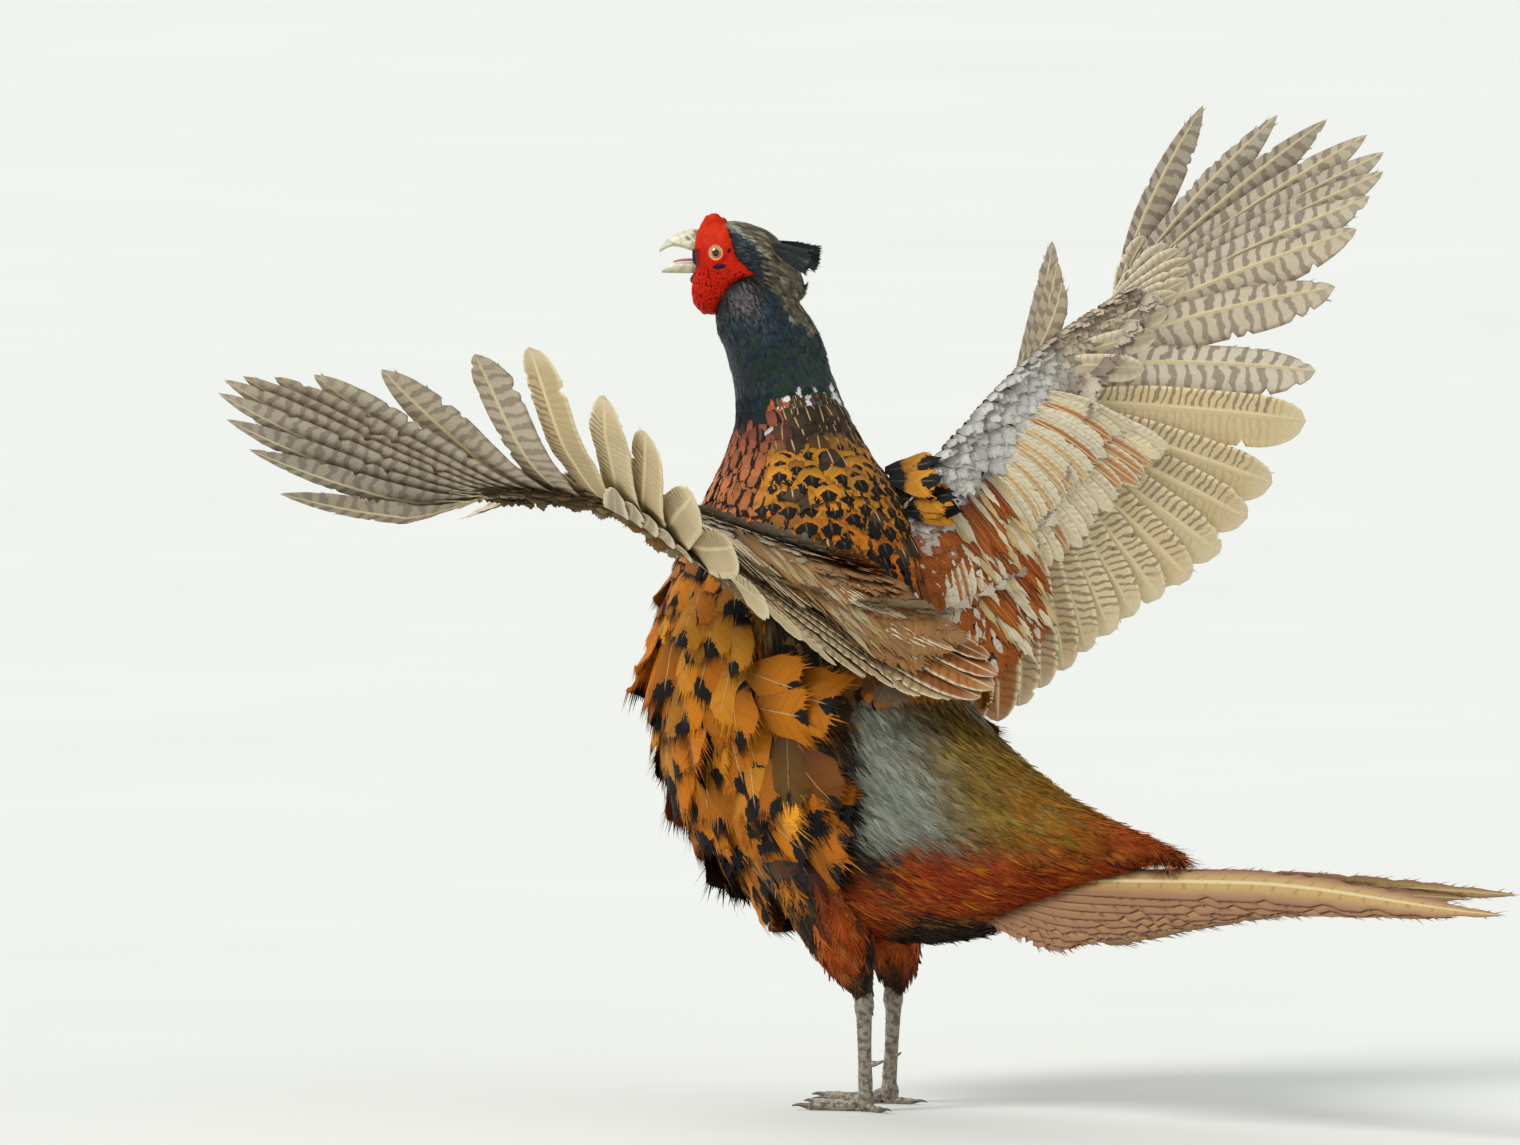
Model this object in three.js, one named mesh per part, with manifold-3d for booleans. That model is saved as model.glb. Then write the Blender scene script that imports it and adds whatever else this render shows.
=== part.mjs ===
// A cock common pheasant, life size, standing upright with its wings beating and its bill open.
// Millimetres. The bird faces -X, its left side is -Y, its right side is +Y, and +Z is up.
// Places are first given from a point on the ground between the feet, and the whole group is then
// moved so that the origin is the middle of the underside of its bounding box.
import * as THREE from "three";
import { mergeVertices } from "three/addons/utils/BufferGeometryUtils.js";
import Module from "manifold-3d";

const wasm = await Module();
wasm.setup();

// Gap kept between pieces that touch, and the detail below which a surface is kept plain
const GAP = 0.35;
const FINENESS = 0.08;
const FACE_FINENESS = 0.26;

// The trunk and neck, as rings from the throat to the end of the rump feathers:
// breast point x and z, back point x and z, half width, and sideways place of the ring
const BODY_RINGS = [
  [-117, 467, -90, 486, 15, -13],
  [-115, 449, -72, 473, 24, -10],
  [-111, 434, -56, 452, 28, -6],
  [-107, 415, -47, 427, 30, -3],
  [-107, 394, -38, 405, 34, -1],
  [-113, 374, -27, 384, 43, 0],
  [-126, 346, -8, 360, 56, 0],
  [-144, 310, 6, 334, 67, 0],
  [-156, 270, 17, 302, 74, 0],
  [-158, 230, 32, 270, 77, 0],
  [-149, 190, 54, 241, 76, 0],
  [-126, 152, 86, 219, 70, 0],
  [-90, 121, 122, 201, 61, 0],
  [-42, 103, 156, 187, 51, 0],
  [8, 98, 186, 178, 41, 0],
  [55, 101, 208, 172, 30, 0],
  [98, 112, 222, 168, 18, 0],
  [140, 128, 229, 165, 8, 0],
];
const BODY_STEPS = 30;
const BODY_SIDES = 20;
// Planes that part the neck, the trunk, the rump and the tail
const NECK_CUT = { point: [-70, 0, 388], normal: [-0.12, 0, 1] };
const RUMP_CUT = { point: [-20, 0, 185], normal: [0.72, 0, -0.69] };
const TAIL_CUT_X = 92;

// The head's own frame: forward, up and left from the level of the eyes
const HEAD_AT = [-112, -18.4, 494];
const HEAD_YAW_DEG = 35;
// Rings from bill base to nape: forward place, middle height, half height, half width
const HEAD_RINGS = [
  [17.5, -1, 7, 5.5],
  [14, -2, 12, 8.5],
  [8, -4.5, 19, 12],
  [0, -7, 24.5, 15],
  [-8, -8.5, 27, 17],
  [-17, -9.5, 26.5, 18.5],
  [-27, -11, 24, 18],
  [-36, -14, 19, 15.5],
  [-43, -17, 12.5, 11],
  [-47, -19, 5, 5],
];
const HEAD_STEPS = 12;
const HEAD_SIDES = 16;

// Feathers of the chin, under the bill: forward, up, and their half length, width and height
const CHIN = { at: [12, -16.5], half: [7.5, 5.5, 4.6] };

// The eyes, each in a round opening of the face skin with a raised lid
const EYE_RADIUS = 5.6;
const EYE_SIDE = 12.6;
const LID_OPENING = 3.5;
const LID_TUBE = 0.85;

// Outline of the red face skin, forward and up from the eye
const WATTLE_OUTLINE = [
  [9, 19], [4.5, 21.5], [-1, 18.5], [-6, 12.5], [-9.5, 4], [-12.5, -3], [-19, -9],
  [-22, -12.5], [-15.5, -14.5], [-10.5, -17.5], [-6.5, -24], [-5, -31], [-0.5, -36],
  [9, -36.5], [15, -31], [16.5, -23], [15.5, -15], [13, -7], [14, 1], [13.5, 10],
];
const WATTLE_THICK = 3;
const LOBE = { at: [5.5, -24, 10.5], half: [9.5, 11.5, 4.5] };
// Bulbs of the lower lobe: forward, up and radius, and how far out the highest of them stand
const BULB_SIDE = 15;
const WATTLE_BULBS = [
  [10.5, -13.5, 2.7], [2, -14.5, 2.8], [12.5, -20, 3.1], [5.5, -20.5, 3.2], [-1, -21, 2.9],
  [11, -27, 3.2], [4, -27.5, 3.3], [8, -33, 3],
];

// The bill, in head coordinates: forward place, upper edge, lower edge, half width
const BILL_UPPER = [
  [12.5, 11.6, -1.2, 6.2],
  [18, 12.3, 0.2, 5.4],
  [23, 11.2, 1.6, 4.5],
  [28, 9.1, 2.4, 3.5],
  [32, 6.2, 1.3, 2.4],
  [35, 2.6, -0.4, 1.3],
  [36.3, 0.4, -1.1, 0.5],
];
const BILL_LOWER = [
  [12.5, -6.8, -12.4, 5.6],
  [18, -6.6, -12.8, 4.9],
  [23, -6.9, -12.9, 4.2],
  [28, -7.8, -13, 3.3],
  [32, -9.6, -13, 2.3],
  [35, -11.6, -12.9, 0.8],
];
const MOUTH = [
  [8, -1.4, -6.4, 3.4],
  [13, -1.2, -6.6, 5.2],
  [19, -1, -6.8, 6.4],
];
const NOSTRIL = { forward: 18.5, up: 7.2, side: 4.6, length: 3.2, height: 0.9, depth: 1.6 };
const TONGUE = [
  [11, -4.6, -6.2, 2.6],
  [18, -4.4, -6.1, 2.4],
  [24, -4.9, -6.4, 1.7],
  [28, -6, -7.1, 0.7],
];

// Ear tufts: root and tip in head coordinates, with a fan of short flat feathers
const TUFT_ROOT = [-33, 3, 9];
const TUFT_TIP = [-57, -1, 17];
const TUFT_FEATHERS = 4;
const TUFT_STEP = 3.1;
const TUFT_WEB = 2.9;

// Wings. Every feather is set out on a flat plan, in which the first number runs outwards from the
// shoulder and the second runs back from the leading edge, and the plan is then laid in space.
const WRIST = [126, -22];
const WRIST_CUT = 127;
const HAND_END = [188, -27];
const SECONDARY_ROOTS = [[114, -9], [65, 26]];
const PRIMARY_TIPS = [
  [258, 72], [299, 39], [331, 19], [350, 8], [366, 1],
  [374, -8], [373, -22], [360, -43], [339, -62], [308, -92],
];
const SECONDARY_TIPS = [
  [235, 92], [198, 110], [175, 118], [151, 125], [129, 127], [109, 126], [91, 125],
  [74, 126], [57, 126], [40, 127], [23, 127], [7, 128],
];
// Inner feathers that lie over the back, with their roots between the elbow and the shoulder
const TERTIAL_TIPS = [[-8, 128], [-21, 120], [-33, 106], [-44, 86]];
const TERTIAL_ROOTS = [[44, 30], [-22, 30]];
// Greater coverts: one row over the arm, and one over each primary for part of its length
const ARM_COVERTS = 10;
const COVERT_ROOTS = [[122, -8], [24, 24]];
const COVERT_TIPS = [[162, 56], [-8, 84]];
const HAND_COVERT_SHARE = 0.36;
// Widths of the leading and trailing webs of each kind of wing feather
const WIDTHS = {
  innerPrimary: [10, 19],
  outerPrimary: [6, 14],
  handCovert: [7, 9],
  secondary: [12, 19],
  tertial: [14, 17],
  armCovert: [10, 12],
  alula: [6, 8],
};
// Wing core rings: outward place, leading edge, trailing edge, half thickness
const WING_CORE = [
  [-34, -4, 42, 12],
  [0, -10, 46, 12.5],
  [34, -19, 46, 10],
  [70, -27, 38, 8],
  [104, -33, 16, 6.5],
  [130, -36, 0, 5.5],
  [160, -36, -12, 4],
  [188, -34, -20, 2.8],
  [202, -32, -24, 1.4],
];
// Each wing's shoulder, the direction it runs outwards, and the direction that points back from the
// leading edge at places along it: outward place, then x, y and z
const LEFT_WING = {
  side: -1,
  shoulder: [-15, -46, 318],
  span: [-0.368, -0.877, 0.3],
  chords: [
    [-50, 0.82, 0.26, -0.4],
    [30, 0.75, 0.24, -0.56],
    [70, 0.78, 0.16, -0.54],
    [105, 0.89, -0.06, -0.34],
    [140, 0.95, -0.18, 0.02],
    [180, 0.88, -0.16, 0.36],
    [240, 0.68, 0.04, 0.72],
  ],
  splay: 0.65,
  camber: 0.0005,
  bow: 16,
};
const RIGHT_WING = {
  side: 1,
  shoulder: [-20, 34, 337],
  span: [0.317, 0.778, 0.542],
  chords: [
    [-45, 0.42, 0.3, -0.86],
    [60, 0.38, 0.38, -0.84],
    [240, 0.45, 0.43, -0.78],
  ],
  splay: 1,
  camber: 0.0004,
  bow: 5,
};
// How far each feather is turned about its shaft, so that it lies over the next one out, and how
// much lower each primary is set than the one before it
const SHINGLE = 0.21;
const COVERT_SHINGLE = 0.2;
const PRIMARY_STEP = 1.4;
const HAND_COVERT_LIFT = [2, 5];
const ARM_COVERT_LIFT = [4, 8];
const ALULA_ROOT = [113, -31];
const ALULA_TIP = [178, -80];
const ALULA_FEATHERS = 3;

// Tail: nine pairs of feathers, the middle pair longest, folded like a roof
const TAIL_ROOT = [70, 0, 147];
const TAIL_LENGTHS = [440, 402, 356, 308, 264, 226, 190, 158, 128];
const TAIL_RISE = 16;
const TAIL_ROOF_DEG = 58;
// Each pair lies this much further down the slope of the roof, and this much under the pair above
const TAIL_SPREAD = 4.6;
const TAIL_SPREAD_AT_ROOT = 1.2;
const TAIL_LAYER = 0.7;
// Distance of the middle pair's shafts from the ridge, at the root and from 110 mm out
const TAIL_RIDGE = [8.5, 11.5];
const TAIL_WIDTHS = [9.5, 13.5];
const TAIL_TILT = -0.2;
// The left half droops a little below the right one past the fork
const TAIL_FORK = 230;
const TAIL_SAG = { [-1]: 11, [1]: 0 };

// Legs: rings of the feathered thigh as x, y, z and radius, then shank, toes and claws
const THIGHS = {
  left: [[-20, -33, 146, 34], [-9, -31, 114, 26], [0, -29, 90, 17.5], [7, -27, 76, 10.5], [12, -25, 64, 6.2]],
  right: [[-42, 33, 146, 34], [-30, 31, 114, 26], [-20, 29, 90, 17.5], [-15, 27, 76, 10.5], [-14, 25, 64, 6.2]],
};
const FEET = {
  left: { hock: [12, -25, 62], ankle: [13, -25, 7.5], turnDeg: -6 },
  right: { hock: [-14, 25, 62], ankle: [-17, 25, 7.5], turnDeg: 8 },
};
const SHANK_RADIUS = 4.3;
const SPUR_LENGTH = 11;
// Toes: name, angle from straight ahead towards the bird's left, length, radius at the root
const TOES = [
  { name: "middle", angleDeg: 0, length: 46, radius: 3.6 },
  { name: "inner", angleDeg: 36, length: 34, radius: 3.3 },
  { name: "outer", angleDeg: -38, length: 36, radius: 3.3 },
  { name: "hind", angleDeg: 176, length: 16, radius: 2.6 },
];
const CLAW_LENGTH = 10;
// Height of a toe's middle over the floor, as a share of its radius, which leaves a flat sole
const SOLE_SHARE = 0.72;
const PAD_RADIUS = 5.4;
const SPUR_UP = 20;
const ANKLE_CUT_UP = 6;

// Colours of the plumage and bare parts
const COLOURS = {
  glossyGreen: 0x16302f,
  crown: 0x6d6b52,
  red: 0xc8200f,
  horn: 0xcfc9ad,
  eye: 0xb98a52,
  copper: 0xa8561d,
  rump: 0x8a8a66,
  tail: 0xa58a66,
  wing: 0xb5a184,
  thigh: 0x3f2a1b,
  leg: 0x6f675c,
  tongue: 0xb0726a,
};

const vec = (p) => new THREE.Vector3(...p);
const radians = THREE.MathUtils.degToRad;
const smooth = THREE.MathUtils.smoothstep;

// A row of numbers read smoothly between the rows of a table, at t from 0 to 1
function tableAt(rows, t) {
  const place = Math.min(t, 1) * (rows.length - 1);
  const i = Math.min(Math.floor(place), rows.length - 2);
  const u = place - i;
  const [p0, p1, p2, p3] = [i - 1, i, i + 1, i + 2].map(
    (k) => rows[THREE.MathUtils.clamp(k, 0, rows.length - 1)],
  );
  return p1.map((_, c) => {
    const slopeIn = (p2[c] - p0[c]) / 2;
    const slopeOut = (p3[c] - p1[c]) / 2;
    const cubic = 2 * (p1[c] - p2[c]) + slopeIn + slopeOut;
    const square = 3 * (p2[c] - p1[c]) - 2 * slopeIn - slopeOut;
    return ((cubic * u + square) * u + slopeIn) * u + p1[c];
  });
}

// A closed solid from triangles, turned so that its faces point outwards
function solidFrom(points, triangles) {
  const vertProperties = new Float32Array(points.flatMap((p) => [p.x, p.y, p.z]));
  const made = new wasm.Manifold(
    new wasm.Mesh({ numProp: 3, vertProperties, triVerts: new Uint32Array(triangles.flat()) }),
  );
  if (made.volume() > 0) return made;
  return solidFrom(points, triangles.map(([a, b, c]) => [a, c, b]));
}

// A closed solid through rings of points, with each end closed by a fan.
// turned[j] splits the faces after point j the other way, so that two faces of a vane match.
function loft(rings, turned = []) {
  const sides = rings[0].length;
  const points = rings.flat();
  const triangles = [];
  for (let i = 0; i + 1 < rings.length; i++) {
    for (let j = 0; j < sides; j++) {
      const a = i * sides + j;
      const b = i * sides + ((j + 1) % sides);
      const c = a + sides;
      const d = b + sides;
      if (turned[j]) triangles.push([a, b, c], [b, d, c]);
      else triangles.push([a, b, d], [a, d, c]);
    }
  }
  for (const [ring, reverse] of [[0, true], [rings.length - 1, false]]) {
    const middle = points.length;
    const start = ring * sides;
    points.push(
      rings[ring].reduce((sum, p) => sum.add(p), new THREE.Vector3()).divideScalar(sides),
    );
    for (let j = 0; j < sides; j++) {
      const edge = [start + j, start + ((j + 1) % sides)];
      triangles.push([middle, ...(reverse ? edge.reverse() : edge)]);
    }
  }
  return solidFrom(points, triangles);
}

// An oval ring about a middle point, from its half axes
function ovalRing(middle, halfA, halfB, sides) {
  return Array.from({ length: sides }, (_, j) => {
    const angle = (2 * Math.PI * j) / sides;
    return middle
      .clone()
      .addScaledVector(halfA, Math.cos(angle))
      .addScaledVector(halfB, Math.sin(angle));
  });
}

function solidOfGeometry(geometry) {
  const bare = geometry.index ? geometry.toNonIndexed() : geometry.clone();
  bare.deleteAttribute("normal");
  bare.deleteAttribute("uv");
  const merged = mergeVertices(bare, 1e-4);
  return new wasm.Manifold(
    new wasm.Mesh({
      numProp: 3,
      vertProperties: merged.attributes.position.array,
      triVerts: new Uint32Array(merged.index.array),
    }),
  );
}

// The largest closed surface of a solid, which fills sealed hollows and drops loose scraps
function largest(solid) {
  const pieces = solid.decompose();
  return pieces.reduce((best, p) => (p.volume() > best.volume() ? p : best));
}

const fuse = (pieces) => wasm.Manifold.union(pieces);

// The part of a solid on the side that a plane's normal points to, beyond an offset from the plane
const cut = (solid, plane, offset = 0) => {
  const normal = vec(plane.normal).normalize();
  return solid.trimByPlane(normal.toArray(), normal.dot(vec(plane.point)) + offset);
};
const flip = (plane) => ({ point: plane.point, normal: plane.normal.map((n) => -n) });

// A tube through rings of x, y, z and radius
function tube(rows, sides, steps) {
  const curve = new THREE.CatmullRomCurve3(rows.map(([x, y, z]) => new THREE.Vector3(x, y, z)));
  const rings = Array.from({ length: steps }, (_, i) => {
    const t = i / (steps - 1);
    const along = curve.getTangent(t);
    const across = new THREE.Vector3(0, 1, 0).cross(along);
    if (across.length() < 0.2) across.set(1, 0, 0).cross(along);
    across.normalize();
    const radius = tableAt(rows, t)[3];
    return ovalRing(
      curve.getPoint(t),
      across.clone().multiplyScalar(radius),
      along.clone().cross(across).normalize().multiplyScalar(radius),
      sides,
    );
  });
  return loft(rings);
}

// One feather as a thin vane. Its shaft runs from root to tip along place(t), with the face of the
// vane square to normal(t). Widths are those of its leading and trailing webs at their widest, and
// a positive tilt lifts the leading web.
const VANE_STATIONS = [0, 0.28, 0.64, 0.9, 1];
const VANE_WIDTHS = [0.16, 0.78, 1, 0.66, 0.12];
const SHORT_STATIONS = [0, 0.5, 0.88, 1];
const SHORT_WIDTHS = [0.4, 1, 0.78, 0.2];
function vane({ place, normal, leading, trailing, tilt = 0, thick = 0.9, edge = 0.55, short = false, lead }) {
  const stations = short ? SHORT_STATIONS : VANE_STATIONS;
  const widths = short ? SHORT_WIDTHS : VANE_WIDTHS;
  const rings = stations.map((t, i) => {
    const at = place(t);
    const along = place(Math.min(t + 0.02, 1)).sub(place(Math.max(t - 0.02, 0))).normalize();
    const up = normal(t).clone();
    up.addScaledVector(along, -up.dot(along)).normalize();
    const side = along.clone().cross(up).normalize();
    if (side.dot(lead) < 0) side.negate();
    const tilted = side.clone().addScaledVector(up, Math.tan(tilt)).normalize();
    const shaft = THREE.MathUtils.lerp(thick, edge, t) / 2;
    const rim = edge / 2;
    const front = at.clone().addScaledVector(tilted, leading * widths[i]);
    const back = at.clone().addScaledVector(tilted, -trailing * widths[i]);
    const lift = (p, h) => p.clone().addScaledVector(up, h);
    if (short) return [lift(front, rim), lift(back, rim), lift(back, -rim), lift(front, -rim)];
    return [
      lift(front, rim), lift(at, shaft), lift(back, rim),
      lift(back, -rim), lift(at, -shaft), lift(front, -rim),
    ];
  });
  const turned = short ? [false, false, true, false] : [false, false, false, true, true, false];
  return loft(rings, turned);
}

// Body: one smooth form, which is then parted into neck, trunk, rump and tail coverts
function bodyForm(grow) {
  const rings = Array.from({ length: BODY_STEPS }, (_, i) => {
    const [vx, vz, dx, dz, half, y] = tableAt(BODY_RINGS, i / (BODY_STEPS - 1));
    const breast = new THREE.Vector3(vx, y, vz);
    const back = new THREE.Vector3(dx, y, dz);
    const middle = breast.clone().add(back).divideScalar(2);
    const toBack = back.clone().sub(middle);
    toBack.setLength(toBack.length() + grow);
    return ovalRing(middle, toBack, new THREE.Vector3(0, half + grow, 0), BODY_SIDES);
  });
  return loft(rings);
}

// Head coordinates to space
const headTurn = new THREE.Matrix4().makeRotationZ(radians(HEAD_YAW_DEG));
function headPoint(forward, up, left) {
  return new THREE.Vector3(-forward, -left, up).applyMatrix4(headTurn).add(vec(HEAD_AT));
}
function toHead(solid) {
  const m = headTurn.clone().setPosition(vec(HEAD_AT)).multiply(
    new THREE.Matrix4().set(-1, 0, 0, 0, 0, 0, -1, 0, 0, 1, 0, 0, 0, 0, 0, 1),
  );
  return solid.transform(m.elements);
}
function headForm(grow) {
  const rings = Array.from({ length: HEAD_STEPS }, (_, i) => {
    const [forward, middle, high, wide] = tableAt(HEAD_RINGS, i / (HEAD_STEPS - 1));
    const ends = grow * Math.sign(i - HEAD_STEPS / 2) * (i === 0 || i === HEAD_STEPS - 1);
    const at = headPoint(forward - ends, middle, 0);
    const up = new THREE.Vector3(0, 0, high + grow);
    const left = headPoint(0, 0, wide + grow).sub(headPoint(0, 0, 0));
    return ovalRing(at, up, left, HEAD_SIDES);
  });
  return loft(rings);
}

// A bill half or the tongue: a rounded top over a flatter underside, or the other way up
function billForm(table, roundTop, steps, grow = 0) {
  const rings = Array.from({ length: steps }, (_, i) => {
    const [place, top, bottom, half] = tableAt(table, i / (steps - 1));
    const forward = i ? place : place - grow;
    const tall = top - bottom + 2 * grow;
    return Array.from({ length: 10 }, (_, j) => {
      const angle = (2 * Math.PI * j) / 10;
      const high = Math.sin(angle);
      const flat = roundTop === high > 0 ? high : high * 0.35;
      const base = roundTop ? bottom - grow + tall * 0.26 : top + grow - tall * 0.26;
      return headPoint(forward, base + flat * tall * 0.74, (half + grow) * Math.cos(angle));
    });
  });
  return loft(rings);
}

// Places on a wing's plan, laid in space: out from the shoulder, back, and above the plan
function wingChord(wing, out) {
  const next = wing.chords.findIndex(([at]) => at > out);
  if (next === 0) return vec(wing.chords[0].slice(1)).normalize();
  if (next < 0) return vec(wing.chords.at(-1).slice(1)).normalize();
  const [before, after] = [wing.chords[next - 1], wing.chords[next]];
  const share = smooth(out, before[0], after[0]) * 0.4 + ((out - before[0]) / (after[0] - before[0])) * 0.6;
  return vec(before.slice(1)).lerp(vec(after.slice(1)), share).normalize();
}
function wingSurface(wing, out, back) {
  const span = vec(wing.span).normalize();
  const chord = wingChord(wing, out);
  const up = span.clone().cross(chord).multiplyScalar(-wing.side).normalize();
  const rise = wing.bow * Math.max(0, (out - 180) / 190) ** 2 - wing.camber * Math.max(back, 0) ** 2;
  return vec(wing.shoulder).addScaledVector(span, out).addScaledVector(chord, back).addScaledVector(up, rise);
}
// Square to the upper side of the wing, from the slopes of its surface
function wingUp(wing, out, back) {
  const outwards = wingSurface(wing, out + 1, back).sub(wingSurface(wing, out - 1, back));
  const backwards = wingSurface(wing, out, back + 1).sub(wingSurface(wing, out, back - 1));
  return outwards.cross(backwards).multiplyScalar(-wing.side).normalize();
}
function wingPoint(wing, out, back, above) {
  return wingSurface(wing, out, back).addScaledVector(wingUp(wing, out, back), above);
}
// One wing feather, from a root to a tip on the plan
function wingFeather(wing, root, tip, above, widths, options = {}) {
  const planAt = (t) => [root[0] + (tip[0] - root[0]) * t, root[1] + (tip[1] - root[1]) * t];
  const heightAt = (t) => above[0] + (above[1] - above[0]) * Math.min(1, t * 2.2);
  const place = (t) => wingPoint(wing, ...planAt(t), heightAt(t));
  const normal = (t) => wingUp(wing, ...planAt(t));
  const ahead = [root[0] + tip[1] - root[1], root[1] - tip[0] + root[0]];
  const lead = wingPoint(wing, ...ahead, 0).sub(wingPoint(wing, ...root, 0));
  return vane({ place, normal, leading: widths[0], trailing: widths[1], tilt: SHINGLE, lead, ...options });
}
const between = (a, b, t) => [a[0] + (b[0] - a[0]) * t, a[1] + (b[1] - a[1]) * t];

function wingCore(wing, grow) {
  const steps = 11;
  return loft(
    Array.from({ length: steps }, (_, i) => {
      const [out, front, rear, thick] = tableAt(WING_CORE, i / (steps - 1));
      return Array.from({ length: 10 }, (_, j) => {
        const angle = (2 * Math.PI * j) / 10;
        const back = (front + rear) / 2 - ((rear - front) / 2 + grow) * Math.cos(angle);
        return wingPoint(wing, out, back, (thick + grow) * Math.sin(angle));
      });
    }),
  );
}

const COVERT = { short: true, tilt: COVERT_SHINGLE };

// The arm and the hand of a wing, parted by a thin cut through the wrist
function wingForms(wing) {
  const wrist = { point: wingPoint(wing, WRIST_CUT, WRIST[1], 0).toArray(), normal: wing.span };
  const core = wingCore(wing, 0);
  const grown = wingCore(wing, GAP);
  const hand = [];
  const arm = [];
  PRIMARY_TIPS.forEach(([out, back], i) => {
    const tip = [out, back < 0 ? back * wing.splay : back];
    const root = between(WRIST, HAND_END, (i + 0.6) / PRIMARY_TIPS.length);
    const slim = i / (PRIMARY_TIPS.length - 1);
    const set = [-0.3 * i, -PRIMARY_STEP * i];
    hand.push(wingFeather(wing, root, tip, set, between(WIDTHS.innerPrimary, WIDTHS.outerPrimary, slim)));
    const over = set.map((height, k) => height + HAND_COVERT_LIFT[k]);
    const covertTip = between(root, tip, HAND_COVERT_SHARE);
    hand.push(wingFeather(wing, root, covertTip, over, WIDTHS.handCovert, COVERT));
  });
  SECONDARY_TIPS.forEach((tip, i) => {
    const root = between(...SECONDARY_ROOTS, i / (SECONDARY_TIPS.length - 1));
    arm.push(wingFeather(wing, root, tip, [0, 0], WIDTHS.secondary));
  });
  TERTIAL_TIPS.forEach((tip, i) => {
    const root = between(...TERTIAL_ROOTS, i / (TERTIAL_TIPS.length - 1));
    arm.push(wingFeather(wing, root, tip, [0, 0], WIDTHS.tertial));
  });
  for (let i = 0; i < ARM_COVERTS; i++) {
    const share = (i + 0.5) / ARM_COVERTS;
    const root = between(...COVERT_ROOTS, share);
    const tip = between(...COVERT_TIPS, share);
    arm.push(wingFeather(wing, root, tip, ARM_COVERT_LIFT, WIDTHS.armCovert, COVERT));
  }
  return {
    arm: fuse([cut(core, flip(wrist), GAP / 2), ...arm]).subtract(cut(grown, wrist, -GAP / 2)),
    hand: fuse([cut(core, wrist, GAP / 2), ...hand]).subtract(cut(grown, flip(wrist), -GAP / 2)),
  };
}

// The few feathers of the thumb, each a little shorter than the one before it
function alulaForm(wing) {
  const feathers = [];
  for (let i = 0; i < ALULA_FEATHERS; i++) {
    const root = [ALULA_ROOT[0] + i * 3, ALULA_ROOT[1] + i];
    const reach = between(ALULA_ROOT, ALULA_TIP, 1 - 0.17 * i);
    const tip = [reach[0] + i * 6, reach[1] + i * 3];
    const options = { short: true, tilt: COVERT_SHINGLE, edge: 0.7 };
    feathers.push(wingFeather(wing, root, tip, [0, 1.5 - i * 0.4], WIDTHS.alula, options));
  }
  return fuse(feathers);
}

// Tail feathers on a folded roof, with side -1 for the left half and 1 for the right half
function tailFeather(pair, side) {
  const length = TAIL_LENGTHS[pair];
  const roof = radians(TAIL_ROOF_DEG);
  const root = vec(TAIL_ROOT);
  const slant = new THREE.Vector3(0, side * Math.cos(roof), -Math.sin(roof));
  const up = new THREE.Vector3(0, side * Math.sin(roof), Math.cos(roof));
  const place = (t) => {
    const along = t * length;
    const sag = TAIL_SAG[side] * smooth(along, TAIL_FORK, TAIL_LENGTHS[0]);
    const opened = smooth(along, -10, 110);
    const spread = pair * (TAIL_SPREAD * opened + TAIL_SPREAD_AT_ROOT * (1 - smooth(along, 0, 90)));
    const down = THREE.MathUtils.lerp(...TAIL_RIDGE, opened) + spread;
    return root
      .clone()
      .add(new THREE.Vector3(along, 0, TAIL_RISE * (1 - (1 - along / TAIL_LENGTHS[0]) ** 2) - 2 - sag))
      .addScaledVector(slant, down)
      .addScaledVector(up, -pair * TAIL_LAYER);
  };
  return vane({
    place,
    normal: () => up,
    leading: TAIL_WIDTHS[0] - pair * 0.2,
    trailing: TAIL_WIDTHS[1] - pair * 0.4,
    tilt: TAIL_TILT,
    lead: slant.clone().negate(),
  });
}

// A toe with its flat sole on the floor, and the claw that follows it
function toeForms(foot, toe, side) {
  const turn = radians(foot.turnDeg + toe.angleDeg * -side);
  const ahead = new THREE.Vector3(-Math.cos(turn), -Math.sin(turn), 0);
  const start = vec(foot.ankle);
  const rest = toe.radius * SOLE_SHARE;
  const rows = [0, 0.16, 0.33, 0.5, 0.67, 0.84, 1].map((t, i) => {
    const at = start.clone().addScaledVector(ahead, t * toe.length);
    const knuckle = i % 2 ? 1 : 0.86;
    const drop = smooth(t, 0, 0.3);
    return [at.x, at.y, THREE.MathUtils.lerp(start.z, rest, drop), toe.radius * knuckle * (1 - 0.3 * t)];
  });
  const end = start.clone().addScaledVector(ahead, toe.length + GAP).setZ(rest);
  const claw = [0, 0.2, 0.55, 0.8, 1].map((t) => [
    end.x + ahead.x * t * CLAW_LENGTH,
    end.y + ahead.y * t * CLAW_LENGTH,
    rest + (t > 0.2 ? 1.3 * Math.sin((t - 0.2) * 3) - 0.9 * t : 0),
    toe.radius * (0.6 - 0.48 * t),
  ]);
  return { toe: tube(rows, 7, 7), claw: tube(claw, 6, 5) };
}

const solids = new Map();
const body = bodyForm(0);
const bodyGrown = bodyForm(GAP);
const headGrown = headForm(GAP);
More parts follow.
